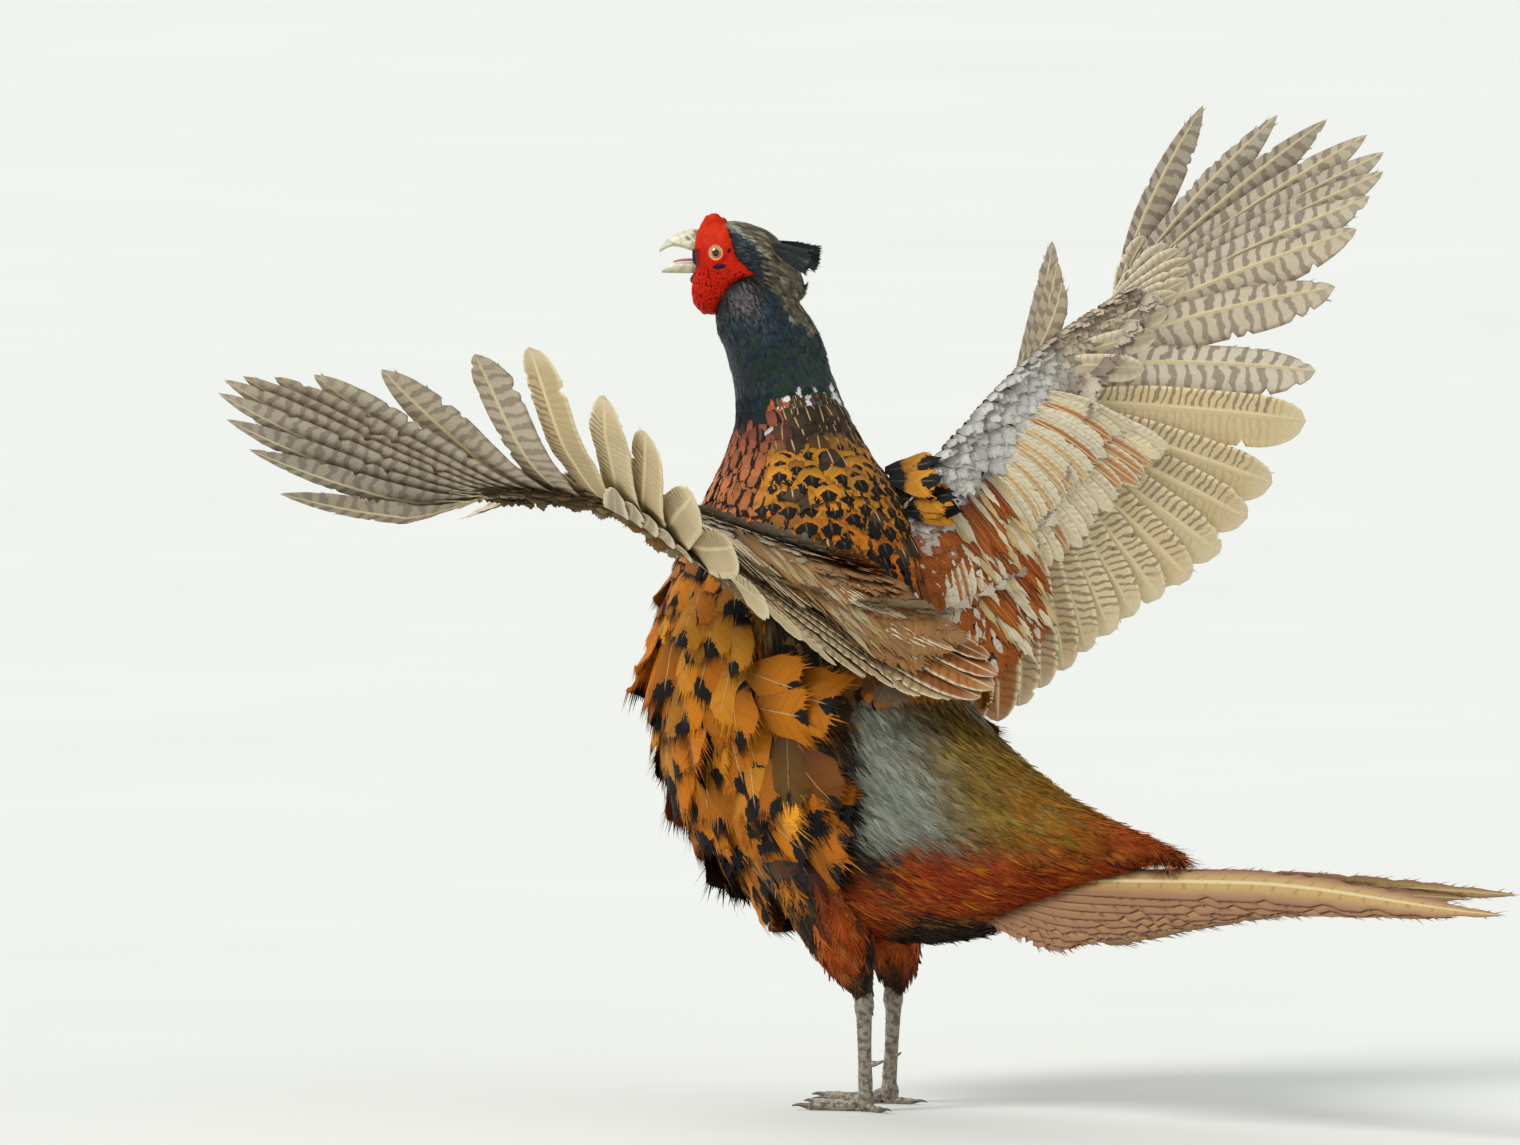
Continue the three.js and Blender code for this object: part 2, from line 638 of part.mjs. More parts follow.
// Head, with sockets for the eyes and the mouth between the bill halves
const eyeAt = (side) => headPoint(0, 0, -side * EYE_SIDE).toArray();
const eyeBall = (side, radius) =>
  solidOfGeometry(new THREE.SphereGeometry(radius, 14, 8)).translate(eyeAt(side));
const mouth = billForm(MOUTH, true, 4);
const upperBill = (grow) => billForm(BILL_UPPER, true, 9, grow);
const lowerBill = (grow) => billForm(BILL_LOWER, false, 8, grow);
const billsGrown = fuse([upperBill(GAP), lowerBill(GAP)]);
const nostrils = [-1, 1].map((side) =>
  toHead(
    solidOfGeometry(new THREE.SphereGeometry(1, 8, 6))
      .scale([NOSTRIL.length / 2, NOSTRIL.height, NOSTRIL.depth])
      .translate([NOSTRIL.forward, NOSTRIL.up, side * NOSTRIL.side]),
  ),
);
const ball = solidOfGeometry(new THREE.SphereGeometry(1, 12, 8));
const chinForm = (grow) => toHead(
  ball.scale([CHIN.half[0] + grow, CHIN.half[2] + grow, CHIN.half[1] + grow]).translate([...CHIN.at, 0]),
);
const sockets = [-1, 1].map((side) => eyeBall(side, EYE_RADIUS + GAP));
const head = fuse([headForm(0), chinForm(0)]).subtract(fuse([mouth, ...sockets, billsGrown]));
solids.set("head", [head, "crown"]);
solids.set("bill_upper", [upperBill(0).subtract(fuse(nostrils)), "horn"]);
solids.set("bill_lower", [lowerBill(0), "horn"]);
solids.set("tongue", [billForm(TONGUE, true, 5), "tongue"]);

// Red face skin on both sides, with its bulbs and the lid round the eye
for (const [name, side] of [["left", -1], ["right", 1]]) {
  const shape = new THREE.Shape(WATTLE_OUTLINE.map(([f, u]) => new THREE.Vector2(f, u)));
  const slab = toHead(
    solidOfGeometry(new THREE.ExtrudeGeometry(shape, { depth: 22, bevelEnabled: false }))
      .translate([0, 0, side < 0 ? 5 : -27]),
  );
  const skin = slab.intersect(headForm(WATTLE_THICK));
  const bulbs = WATTLE_BULBS.map(([forward, up, radius]) => {
    const out = BULB_SIDE + (up + 14) * 0.2 - Math.max(forward - 3, 0) * 0.45;
    return solidOfGeometry(new THREE.IcosahedronGeometry(radius, 1)).translate(
      headPoint(forward, up, -side * out).toArray(),
    );
  });
  const lobe = toHead(ball.scale(LOBE.half).translate([LOBE.at[0], LOBE.at[1], -side * LOBE.at[2]]));
  const opening = (radius, from, to) => toHead(
    solidOfGeometry(new THREE.CylinderGeometry(radius, radius, to - from, 18).rotateX(Math.PI / 2))
      .translate([0, 0, -side * (from + to) / 2]),
  );
  const lid = toHead(
    solidOfGeometry(new THREE.TorusGeometry(LID_OPENING + LID_TUBE, LID_TUBE, 6, 18))
      .translate([0, 0, -side * (EYE_SIDE + 4.6)]),
  );
  const eyeHole = fuse([eyeBall(side, EYE_RADIUS + GAP), opening(LID_OPENING, EYE_SIDE, EYE_SIDE + 12)]);
  const made = fuse([skin, lobe, ...bulbs, lid]).subtract(
    fuse([headGrown, bodyGrown, chinForm(GAP), eyeHole, billsGrown]),
  );
  solids.set(`wattle_${name}`, [made, "red"]);
  solids.set(`eye_${name}`, [eyeBall(side, EYE_RADIUS), "eye"]);
  const flatUp = new THREE.Vector3(0, 0, 1).applyMatrix4(headTurn);
  const tuft = Array.from({ length: TUFT_FEATHERS }, (_, i) => {
    const spread = (i - (TUFT_FEATHERS - 1) / 2) * TUFT_STEP;
    const from = headPoint(TUFT_ROOT[0], TUFT_ROOT[1] + spread * 0.5, -side * TUFT_ROOT[2]);
    const to = headPoint(TUFT_TIP[0] + Math.abs(spread) * 0.4, TUFT_TIP[1] + spread, -side * TUFT_TIP[2]);
    const out = headPoint(0, 0, -side).sub(headPoint(0, 0, 0)).addScaledVector(flatUp, 0.15 * i);
    return vane({
      place: (t) => from.clone().lerp(to, t).addScaledVector(out, i * 0.5),
      normal: () => out,
      leading: TUFT_WEB,
      trailing: TUFT_WEB,
      edge: 0.9,
      short: true,
      tilt: 0.1,
      lead: flatUp,
    });
  });
  solids.set(`ear_tuft_${name}`, [fuse(tuft).subtract(fuse([headGrown, bodyGrown])), "glossyGreen"]);
}

// Neck, trunk, rump and tail
const neckPart = cut(body, NECK_CUT, GAP / 2).subtract(headGrown);
const tailPlane = { point: [TAIL_CUT_X, 0, 0], normal: [1, 0, 0] };
const rumpPart = cut(cut(body, RUMP_CUT, GAP / 2), flip(tailPlane), GAP / 2);
solids.set("neck", [neckPart, "glossyGreen"]);
solids.set("torso", [cut(cut(body, flip(NECK_CUT), GAP / 2), flip(RUMP_CUT), GAP / 2), "copper"]);
solids.set("rump", [rumpPart, "rump"]);
const tailFeathers = [];
for (let pair = 0; pair < TAIL_LENGTHS.length; pair++) {
  tailFeathers.push(tailFeather(pair, -1), tailFeather(pair, 1));
}
solids.set("tail", [cut(fuse([body, ...tailFeathers]), tailPlane, GAP / 2), "tail"]);

// Wings
for (const [name, wing] of [["left", LEFT_WING], ["right", RIGHT_WING]]) {
  const { arm, hand } = wingForms(wing);
  solids.set(`wing_${name}`, [arm.subtract(bodyGrown), "wing"]);
  solids.set(`hand_${name}`, [hand, "wing"]);
  solids.set(`alula_${name}`, [alulaForm(wing).subtract(wingCore(wing, GAP)), "wing"]);
}

// Legs and feet, with all that would reach under the floor taken off
const FLOOR = { point: [0, 0, 0], normal: [0, 0, 1] };
for (const [name, side] of [["left", -1], ["right", 1]]) {
  const foot = FEET[name];
  const ankleCut = { point: [0, 0, foot.ankle[2] + ANKLE_CUT_UP], normal: [0, 0, 1] };
  const thigh = tube(THIGHS[name], 12, 9);
  const hock = vec(foot.hock);
  const shankRows = [
    [hock.x, hock.y, hock.z + 12, SHANK_RADIUS * 0.8],
    [hock.x, hock.y, hock.z, SHANK_RADIUS * 1.35],
    [hock.x, hock.y, hock.z - 9, SHANK_RADIUS * 1.05],
    [(hock.x + foot.ankle[0]) / 2, hock.y, hock.z / 2, SHANK_RADIUS * 0.92],
    [foot.ankle[0], foot.ankle[1], foot.ankle[2] + 8, SHANK_RADIUS],
    [foot.ankle[0], foot.ankle[1], foot.ankle[2], SHANK_RADIUS * 0.9],
  ];
  const shankForm = (grow) => tube(shankRows.map(([x, y, z, r]) => [x, y, z, r + grow]), 10, 14);
  const shank = shankForm(0);
  const spurRoot = [foot.ankle[0] + 2, foot.ankle[1] - side * 1.5, foot.ankle[2] + SPUR_UP];
  const spur = tube(
    [0, 0.5, 1].map((t) => [
      spurRoot[0] + t * SPUR_LENGTH, spurRoot[1] - side * t * 2, spurRoot[2] + t * t * 3, 2.2 - 1.8 * t,
    ]),
    8,
    5,
  );
  const forms = TOES.map((toe) => ({ ...toeForms(foot, toe, side), name: toe.name }));
  const pad = solidOfGeometry(new THREE.SphereGeometry(PAD_RADIUS, 12, 8)).translate([
    foot.ankle[0], foot.ankle[1], foot.ankle[2] - 1,
  ]);
  const sole = cut(fuse([pad, cut(shank, flip(ankleCut)), ...forms.map((f) => f.toe)]), FLOOR);
  const shankPart = cut(fuse([shank, spur]), ankleCut, GAP);
  solids.set(`foot_${name}`, [sole, "leg"]);
  solids.set(`shank_${name}`, [shankPart, "leg"]);
  solids.set(`thigh_${name}`, [thigh.subtract(fuse([bodyGrown, shankForm(GAP)])), "thigh"]);
  for (const { claw, name: toeName } of forms) {
    solids.set(`claw_${name}_${toeName}`, [cut(claw, FLOOR), "horn"]);
  }
}

// The group of named meshes, moved so that the origin is the middle of the underside of its box
const bird = new THREE.Group();
for (const [name, [solid, colour]] of solids) {
  const fineness = /wattle|foot|head/.test(name) ? FACE_FINENESS : FINENESS;
  const mesh = largest(largest(solid).asOriginal().simplify(fineness)).getMesh();
  const geometry = new THREE.BufferGeometry()
    .setAttribute("position", new THREE.BufferAttribute(new Float32Array(mesh.vertProperties), 3))
    .setIndex(new THREE.BufferAttribute(mesh.triVerts, 1));
  const material = new THREE.MeshStandardMaterial({ color: COLOURS[colour], roughness: 0.7, metalness: 0 });
  const part = new THREE.Mesh(geometry, material);
  part.name = name;
  bird.add(part);
}
const box = new THREE.Box3().setFromObject(bird);
const centre = box.getCenter(new THREE.Vector3());
bird.position.set(-centre.x, -centre.y, -box.min.z);

export default bird;
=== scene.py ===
"""A cock common pheasant, life size, crowing with both wings beating."""

import bpy
import numpy as np
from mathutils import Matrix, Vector


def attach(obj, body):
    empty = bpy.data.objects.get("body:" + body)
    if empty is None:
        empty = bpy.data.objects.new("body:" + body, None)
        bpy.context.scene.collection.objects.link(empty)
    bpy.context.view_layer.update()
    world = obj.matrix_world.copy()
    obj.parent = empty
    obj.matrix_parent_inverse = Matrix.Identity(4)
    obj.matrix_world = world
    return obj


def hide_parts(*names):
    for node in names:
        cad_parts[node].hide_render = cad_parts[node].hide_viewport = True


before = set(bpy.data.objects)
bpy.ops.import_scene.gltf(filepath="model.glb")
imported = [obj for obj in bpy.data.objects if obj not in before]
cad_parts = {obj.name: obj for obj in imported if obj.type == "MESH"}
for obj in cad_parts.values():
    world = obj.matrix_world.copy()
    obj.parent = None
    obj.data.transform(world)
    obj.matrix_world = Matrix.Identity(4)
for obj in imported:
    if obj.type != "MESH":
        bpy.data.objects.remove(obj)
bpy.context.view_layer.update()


# The studio: a wide pale floor, a pale sky all round and three soft suns, the strongest high at the left
# of the picture, a weak one at the right and one behind. Shapes are worked out in millimetres from the
# ground between the feet, and MOVE takes them to the model's own origin under the middle of its box.
MOVE = np.array([-169.321, 24.270, 0.0])
AIM = (np.array([-49.2, -49.2, 311.3]) + MOVE) / 1000
VIEW_AZIMUTH = np.radians(45.0)
VIEW_HEIGHT = np.radians(4.0)
VIEW_DISTANCE = 25.0
VIEW_WIDTH = 0.8816
RICHNESS = 1.25
FLOOR_REACH = 60.0

rng = np.random.default_rng(11)


def colour(text):
    """A screen colour such as c8200f as the linear red, green and blue that materials use, a quarter
    further from grey, because the pale room washes colours out."""
    parts = np.array([int(text[i : i + 2], 16) for i in (0, 2, 4)]) / 255
    linear = np.where(parts < 0.04045, parts / 12.92, ((parts + 0.055) / 1.055) ** 2.4)
    return np.clip(linear.mean() + (linear - linear.mean()) * RICHNESS, 0, 1)


def add(tree, kind, inputs=None, **settings):
    """A new node with its settings, and with its inputs linked or given a value."""
    made = tree.nodes.new(kind)
    for key, value in settings.items():
        setattr(made, key, value)
    for key, value in (inputs or {}).items():
        if isinstance(value, bpy.types.NodeSocket):
            tree.links.new(value, made.inputs[key])
        else:
            made.inputs[key].default_value = value
    return made


def rgba(text):
    """The same with full opacity, as a colour socket takes it."""
    return (*colour(text), 1.0)


def mix(tree, factor, a, b, blend="MIX"):
    """One colour blended into another by a factor, each of them a socket or a value."""
    made = add(tree, "ShaderNodeMix", data_type="RGBA", blend_type=blend)
    for index, value in ((0, factor), (6, a), (7, b)):
        if isinstance(value, bpy.types.NodeSocket):
            tree.links.new(value, made.inputs[index])
        else:
            made.inputs[index].default_value = value
    return made.outputs[2]


def noise(tree, scale, detail, **more):
    """Noise in the model's own space, with the scale and detail given."""
    place = add(tree, "ShaderNodeTexCoord").outputs["Object"]
    return add(
        tree, "ShaderNodeTexNoise", {"Vector": place, "Scale": scale, "Detail": detail, **more}
    ).outputs[0]


def dress(tree, shader, tint, height=None, strength=0.5, depth=0.0003):
    """Gives a shader its colour, and a bump from a height, with its strength and its depth in metres."""
    tree.links.new(tint, shader.inputs["Base Color"])
    if height is not None:
        raised = add(tree, "ShaderNodeBump", {"Height": height, "Strength": strength, "Distance": depth})
        tree.links.new(raised.outputs["Normal"], shader.inputs["Normal"])


def new_material(name, **principled):
    """A material with one Principled shader, whose own sockets get the values given."""
    made = bpy.data.materials.new(name)
    made.use_nodes = True
    shader = made.node_tree.nodes["Principled BSDF"]
    for key, value in principled.items():
        shader.inputs[key.replace("_", " ").title().replace("Ior", "IOR")].default_value = value
    return made, made.node_tree, shader


def aimed(obj, place, target):
    """Puts a camera or a lamp into the scene at a place, turned to look at the target."""
    obj.location = Vector(place)
    obj.rotation_euler = (Vector(target) - Vector(place)).to_track_quat("-Z", "Y").to_euler()
    bpy.context.scene.collection.objects.link(obj)
    return obj


toward = np.array([np.sin(VIEW_AZIMUTH), -np.cos(VIEW_AZIMUTH), 0.0])
rightwards = np.array([np.cos(VIEW_AZIMUTH), np.sin(VIEW_AZIMUTH), 0.0])
upwards = np.array([0.0, 0.0, 1.0])
lens = bpy.data.cameras.new("camera")
lens.lens = lens.sensor_width * VIEW_DISTANCE / VIEW_WIDTH
lens.clip_end = 200.0
camera_at = AIM + VIEW_DISTANCE * (toward * np.cos(VIEW_HEIGHT) + upwards * np.sin(VIEW_HEIGHT))
camera = aimed(bpy.data.objects.new("camera", lens), camera_at, AIM)
bpy.context.scene.camera = camera
bpy.context.scene.view_settings.view_transform = "Standard"

for name, across, near, high, softness, power in (
    ("key_lamp", -1.5, 0.9, 1.5, 24.0, 2.1),
    ("fill_lamp", 1.6, 1.0, 0.9, 60.0, 0.5),
    ("back_lamp", -0.6, -1.6, 1.5, 40.0, 0.8),
):
    lamp = bpy.data.lights.new(name, "SUN")
    lamp.angle = np.radians(softness)
    lamp.energy = power
    aimed(bpy.data.objects.new(name, lamp), AIM + across * rightwards + near * toward + high * upwards, AIM)

sky = bpy.context.scene.world or bpy.data.worlds.new("sky")
bpy.context.scene.world = sky
sky.use_nodes = True
sky.node_tree.nodes["Background"].inputs["Color"].default_value = rgba("e9edf0")
sky.node_tree.nodes["Background"].inputs["Strength"].default_value = 0.62

floor_mesh = bpy.data.meshes.new("floor")
corners = [(x * FLOOR_REACH, y * FLOOR_REACH, 0.0) for x, y in ((-1, -1), (1, -1), (1, 1), (-1, 1))]
floor_mesh.from_pydata(corners, [], [(0, 1, 2, 3)])
floor = bpy.data.objects.new("floor", floor_mesh)
bpy.context.scene.collection.objects.link(floor)
floor_material, tree, shader = new_material("floor_paper", roughness=0.85)
dress(tree, shader, mix(tree, noise(tree, 3.0, 4.0), rgba("dcdcd6"), rgba("e2e2dd")))
floor_mesh.materials.append(floor_material)
# The skin: one closed surface under all the plumage, over the head, neck, trunk, thighs and the arms of
# both wings. It is soft flesh with short down, and lies inside the plumage by the depth of the coat.
# Body rings from throat to rump: breast x and z, back x and z, half width, and sideways place
BODY_RINGS = np.array(
    [
        [-117, 467, -90, 486, 15, -13],
        [-115, 449, -72, 473, 24, -10],
        [-111, 434, -56, 452, 28, -6],
        [-107, 415, -47, 427, 30, -3],
        [-107, 394, -38, 405, 34, -1],
        [-113, 374, -27, 384, 43, 0],
        [-126, 346, -8, 360, 56, 0],
        [-144, 310, 6, 334, 67, 0],
        [-156, 270, 17, 302, 74, 0],
        [-158, 230, 32, 270, 77, 0],
        [-149, 190, 54, 241, 76, 0],
        [-126, 152, 86, 219, 70, 0],
        [-90, 121, 122, 201, 61, 0],
        [-42, 103, 156, 187, 51, 0],
        [8, 98, 186, 178, 41, 0],
        [55, 101, 208, 172, 30, 0],
        [98, 112, 222, 168, 18, 0],
        [140, 128, 229, 165, 8, 0],
    ],
    float,
)
# Head rings from the bill's base to the nape: forward place, middle height, half height, half width
HEAD_RINGS = np.array(
    [
        [17.5, -1, 7, 5.5],
        [14, -2, 12, 8.5],
        [8, -4.5, 19, 12],
        [0, -7, 24.5, 15],
        [-8, -8.5, 27, 17],
        [-17, -9.5, 26.5, 18.5],
        [-27, -11, 24, 18],
        [-36, -14, 19, 15.5],
        [-43, -17, 12.5, 11],
        [-47, -19, 5, 5],
    ],
    float,
)
HEAD_AT = np.array([-112, -18.4, 494])
HEAD_YAW = np.radians(35.0)
# Thigh rings from hip to hock: x, y, z and radius
THIGHS = {
    "left": np.array(
        [
            [-20, -33, 146, 34], [-9, -31, 114, 26], [0, -29, 90, 17.5], [7, -27, 76, 10.5],
            [12, -25, 64, 6.2]
        ], float
    ),
    "right": np.array(
        [
            [-42, 33, 146, 34], [-30, 31, 114, 26], [-20, 29, 90, 17.5], [-15, 27, 76, 10.5],
            [-14, 25, 64, 6.2]
        ], float
    ),
}
# Wings are set out on a plan: outwards from the shoulder, and back from the leading edge. Each has its
# shoulder, the way it runs out, and the way back from the leading edge at places along it.
WINGS = {
    "left": dict(
        side=-1,
        shoulder=[-15, -46, 318],
        span=[-0.368, -0.877, 0.3],
        chords=[
            [-50, 0.82, 0.26, -0.4],
            [30, 0.75, 0.24, -0.56],
            [70, 0.78, 0.16, -0.54],
            [105, 0.89, -0.06, -0.34],
            [140, 0.95, -0.18, 0.02],
            [180, 0.88, -0.16, 0.36],
            [240, 0.68, 0.04, 0.72],
        ],
        splay=0.65,
        camber=0.0005,
        bow=16,
    ),
    "right": dict(
        side=1,
        shoulder=[-20, 34, 337],
        span=[0.317, 0.778, 0.542],
        chords=[[-45, 0.42, 0.3, -0.86], [60, 0.38, 0.38, -0.84], [240, 0.45, 0.43, -0.78]],
        splay=1.0,
        camber=0.0004,
        bow=5,
    ),
}
# Rings of a wing's flesh: outward place, leading edge, trailing edge, half thickness
WING_CORE = np.array(
    [
        [-34, -4, 42, 12],
        [0, -10, 46, 12.5],
        [34, -19, 46, 10],
        [70, -27, 38, 8],
        [104, -33, 16, 6.5],
        [130, -36, 0, 5.5],
        [160, -36, -12, 4],
        [188, -34, -20, 2.8],
        [202, -32, -24, 1.4],
    ],
    float,
)


def unit(v):
    """Vectors at length 1."""
    return v / np.maximum(np.linalg.norm(v, axis=-1, keepdims=True), 1e-9)


def ease(x, low, high):
    """0 below low, 1 above high, and a smooth climb between them."""
    t = np.clip((x - low) / (high - low), 0, 1)
    return t * t * (3 - 2 * t)


def coat_depth(ring):
    """Depth of the coat over the skin: thin at the throat and full over the trunk."""
    return 1.6 + 3.6 * ease(ring, 1.0, 8.0)


def read_rows(rows, place):
    """Rows of a table read at fractional places, along a smooth curve through the rows."""
    place = np.clip(np.asarray(place, float), 0, len(rows) - 1)
    i = np.minimum(place.astype(int), len(rows) - 2)
    u = (place - i)[..., None]
    p0, p1, p2, p3 = (rows[np.clip(i + k, 0, len(rows) - 1)] for k in (-1, 0, 1, 2))
    slope_in, slope_out = (p2 - p0) / 2, (p3 - p1) / 2
    cubic = 2 * (p1 - p2) + slope_in + slope_out
    square = 3 * (p2 - p1) - 2 * slope_in - slope_out
    return ((cubic * u + square) * u + slope_in) * u + p1


def body_point(ring, angle, sink=0.0):
    """The trunk and neck: an oval round each ring's middle, with angle 0 at the back and pi at the breast."""
    ring, angle = np.broadcast_arrays(np.asarray(ring, float), np.asarray(angle, float))
    breast_x, breast_z, back_x, back_z, half, y = np.moveaxis(read_rows(BODY_RINGS, ring), -1, 0)
    breast = np.stack([breast_x, y, breast_z], -1)
    back = np.stack([back_x, y, back_z], -1)
    tall = np.linalg.norm(back - breast, axis=-1, keepdims=True) / 2
    up = (back - breast) / (2 * tall)
    sink = np.broadcast_to(sink, ring.shape)[..., None]
    across = np.array([0.0, 1.0, 0.0]) * (half[..., None] - sink)
    middle = (breast + back) / 2
    return middle + up * (tall - sink) * np.cos(angle)[..., None] + across * np.sin(angle)[..., None]


def head_point(forward, up, left):
    """Head coordinates, from the level between the eyes, to the body's own."""
    forward, up, left = np.broadcast_arrays(*(np.asarray(v, float) for v in (forward, up, left)))
    c, s = np.cos(HEAD_YAW), np.sin(HEAD_YAW)
    return np.stack([-forward * c + left * s, -forward * s - left * c, up], -1) + HEAD_AT


def to_head(points):
    """The body's coordinates to the head's: forward, up and left of the level between the eyes."""
    away = points - HEAD_AT
    c, s = np.cos(HEAD_YAW), np.sin(HEAD_YAW)
    return np.stack(
        [-away[..., 0] * c - away[..., 1] * s, away[..., 2], away[..., 0] * s - away[..., 1] * c], -1
    )


def head_surface(ring, angle, sink=0.0):
    """The head: an oval round each ring's middle, angle 0 at the crown and a quarter turn at the left."""
    ring, angle = np.broadcast_arrays(np.asarray(ring, float), np.asarray(angle, float))
    forward, middle, high, wide = np.moveaxis(read_rows(HEAD_RINGS, ring), -1, 0)
    return head_point(forward, middle + (high - sink) * np.cos(angle), (wide - sink) * np.sin(angle))


def thigh_point(side, ring, angle, sink=0.0):
    """A thigh: level circles along its curve, with angle 0 ahead and a quarter turn to the bird's left."""
    ring, angle = np.broadcast_arrays(np.asarray(ring, float), np.asarray(angle, float))
    rows = read_rows(THIGHS[side], ring)
    radius = rows[..., 3] - sink
    round_it = np.stack([-np.cos(angle), -np.sin(angle), 0 * angle], -1)
    return rows[..., :3] + radius[..., None] * round_it


def wing_chord(wing, out):
    """The way back from the leading edge, blended between the places where it is given."""
    rows = np.array(wing["chords"])
    out = np.clip(out, rows[0, 0], rows[-1, 0])
    i = np.clip(np.searchsorted(rows[:, 0], out, side="right") - 1, 0, len(rows) - 2)
    low, high = rows[i, 0], rows[i + 1, 0]
    share = (0.4 * ease(out, low, high) + 0.6 * (out - low) / (high - low))[..., None]
    return unit(rows[i, 1:] * (1 - share) + rows[i + 1, 1:] * share)


def wing_surface(wing, out, back):
    """The plan laid in space: along the span, back along the chord, bowed at the tip and cambered behind."""
    out, back = np.broadcast_arrays(np.asarray(out, float), np.asarray(back, float))
    span = unit(np.array(wing["span"]))
    chord = wing_chord(wing, out)
    up = unit(np.cross(span, chord) * -wing["side"])
    rise = wing["bow"] * np.maximum(0, (out - 180) / 190) ** 2 - wing["camber"] * np.maximum(back, 0) ** 2
    return np.array(wing["shoulder"]) + span * out[..., None] + chord * back[..., None] + up * rise[..., None]


def wing_up(wing, out, back):
    """Square to the upper side of a wing, from the slopes of its plan in space."""
    outwards = wing_surface(wing, out + 1, back) - wing_surface(wing, out - 1, back)
    backwards = wing_surface(wing, out, back + 1) - wing_surface(wing, out, back - 1)
    return unit(np.cross(outwards, backwards) * -wing["side"])


def wing_point(wing, out, back, above):
    """A place on a wing's plan, raised square to it by the height above."""
    out, back, above = np.broadcast_arrays(*(np.asarray(v, float) for v in (out, back, above)))
    return wing_surface(wing, out, back) + wing_up(wing, out, back) * above[..., None]


def core_point(wing, ring, angle, sink=0.0):
    """A wing's flesh: a flat oval round the plan, angle 0 at the leading edge and a quarter turn on top."""
    ring, angle = np.broadcast_arrays(np.asarray(ring, float), np.asarray(angle, float))
    out, front, rear, thick = np.moveaxis(read_rows(WING_CORE, ring), -1, 0)
    back = (front + rear) / 2 - ((rear - front) / 2 - sink) * np.cos(angle)
    return wing_point(wing, out, back, (thick - np.minimum(sink, thick * 0.4)) * np.sin(angle))


def tube_faces(rings, sides, flipped=False):
    """Faces of a tube of whole rings, whose two end points follow the last ring, facing out or flipped."""
    i, j = np.meshgrid(np.arange(rings - 1), np.arange(sides), indexing="ij")
    after = (j + 1) % sides
    quads = np.stack([i * sides + j, i * sides + after, (i + 1) * sides + after, (i + 1) * sides + j], -1)
    quads = quads.reshape(-1, 4)
    k = np.arange(sides)
    turn = (k + 1) % sides
    last_ring = (rings - 1) * sides
    first = np.stack([turn, k, np.full(sides, rings * sides)], -1)
    last = np.stack([last_ring + k, last_ring + turn, np.full(sides, rings * sides + 1)], -1)
    return [quads[:, [0, 3, 2, 1]], first[:, ::-1], last[:, ::-1]] if flipped else [quads, first, last]


def closed_loft(surface, rings, sides):
    """Points and faces of surface(ring, angle) over whole rings, with a middle point closing each end."""
    angle = np.arange(sides) * 2 * np.pi / sides
    points = surface(np.asarray(rings)[:, None], angle[None, :])
    ends = np.stack([points[0].mean(0), points[-1].mean(0)])
    return np.concatenate([points.reshape(-1, 3), ends]), tube_faces(len(rings), sides)


def new_mesh(name, points, faces, maps=None, tints=None):
    """A smooth mesh from arrays: points in millimetres, faces of like size in each array, UV maps given by
    point or by corner, and attributes by point, of three or four numbers."""
    faces = [np.asarray(f, np.int32) for f in (faces if isinstance(faces, list) else [faces]) if len(f)]
    corners = np.concatenate([f.ravel() for f in faces])
    sizes = np.concatenate([np.full(len(f), f.shape[1], np.int32) for f in faces])
    mesh = bpy.data.meshes.new(name)
    mesh.vertices.add(len(points))
    mesh.vertices.foreach_set("co", ((points + MOVE) / 1000).astype(np.float32).ravel())
    mesh.loops.add(len(corners))
    mesh.loops.foreach_set("vertex_index", corners)
    mesh.polygons.add(len(sizes))
    mesh.polygons.foreach_set("loop_start", np.concatenate([[0], np.cumsum(sizes)[:-1]]).astype(np.int32))
    mesh.polygons.foreach_set("use_smooth", np.ones(len(sizes), bool))
    mesh.update(calc_edges=True)
    for key, values in (maps or {}).items():
        by_corner = values if len(values) == len(corners) else values[corners]
        mesh.uv_layers.new(name=key).data.foreach_set("uv", by_corner.astype(np.float32).ravel())
    for key, values in (tints or {}).items():
        if values.shape[1] == 3:
            values = np.concatenate([values, np.ones((len(values), 1))], 1)
        mesh.attributes.new(key, "FLOAT_COLOR", "POINT").data.foreach_set(
            "color", values.astype(np.float32).ravel()
        )
    return mesh


def new_piece(name, mesh, material, slot, *replaced):
    """An object at the origin that rides on the bird and stands for the solids named."""
    made = bpy.data.objects.new(name, mesh)
    bpy.context.scene.collection.objects.link(made)
    made.data.materials.append(material)
    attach(made, "root")
    if replaced:
        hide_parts(*replaced)
    return made


def join_forms(forms):
    """Several sets of points and faces as one."""
    points, faces, start = [], [], 0
    for p, group in forms:
        points.append(p)
        faces += [f + start for f in group]
        start += len(p)
    return np.concatenate(points), faces


def mixed(base, mask, tint):
    """Colours or signs moved towards others by a mask from 0 to 1."""
    return base + (tint - base) * np.clip(mask, 0, 1)[..., None]


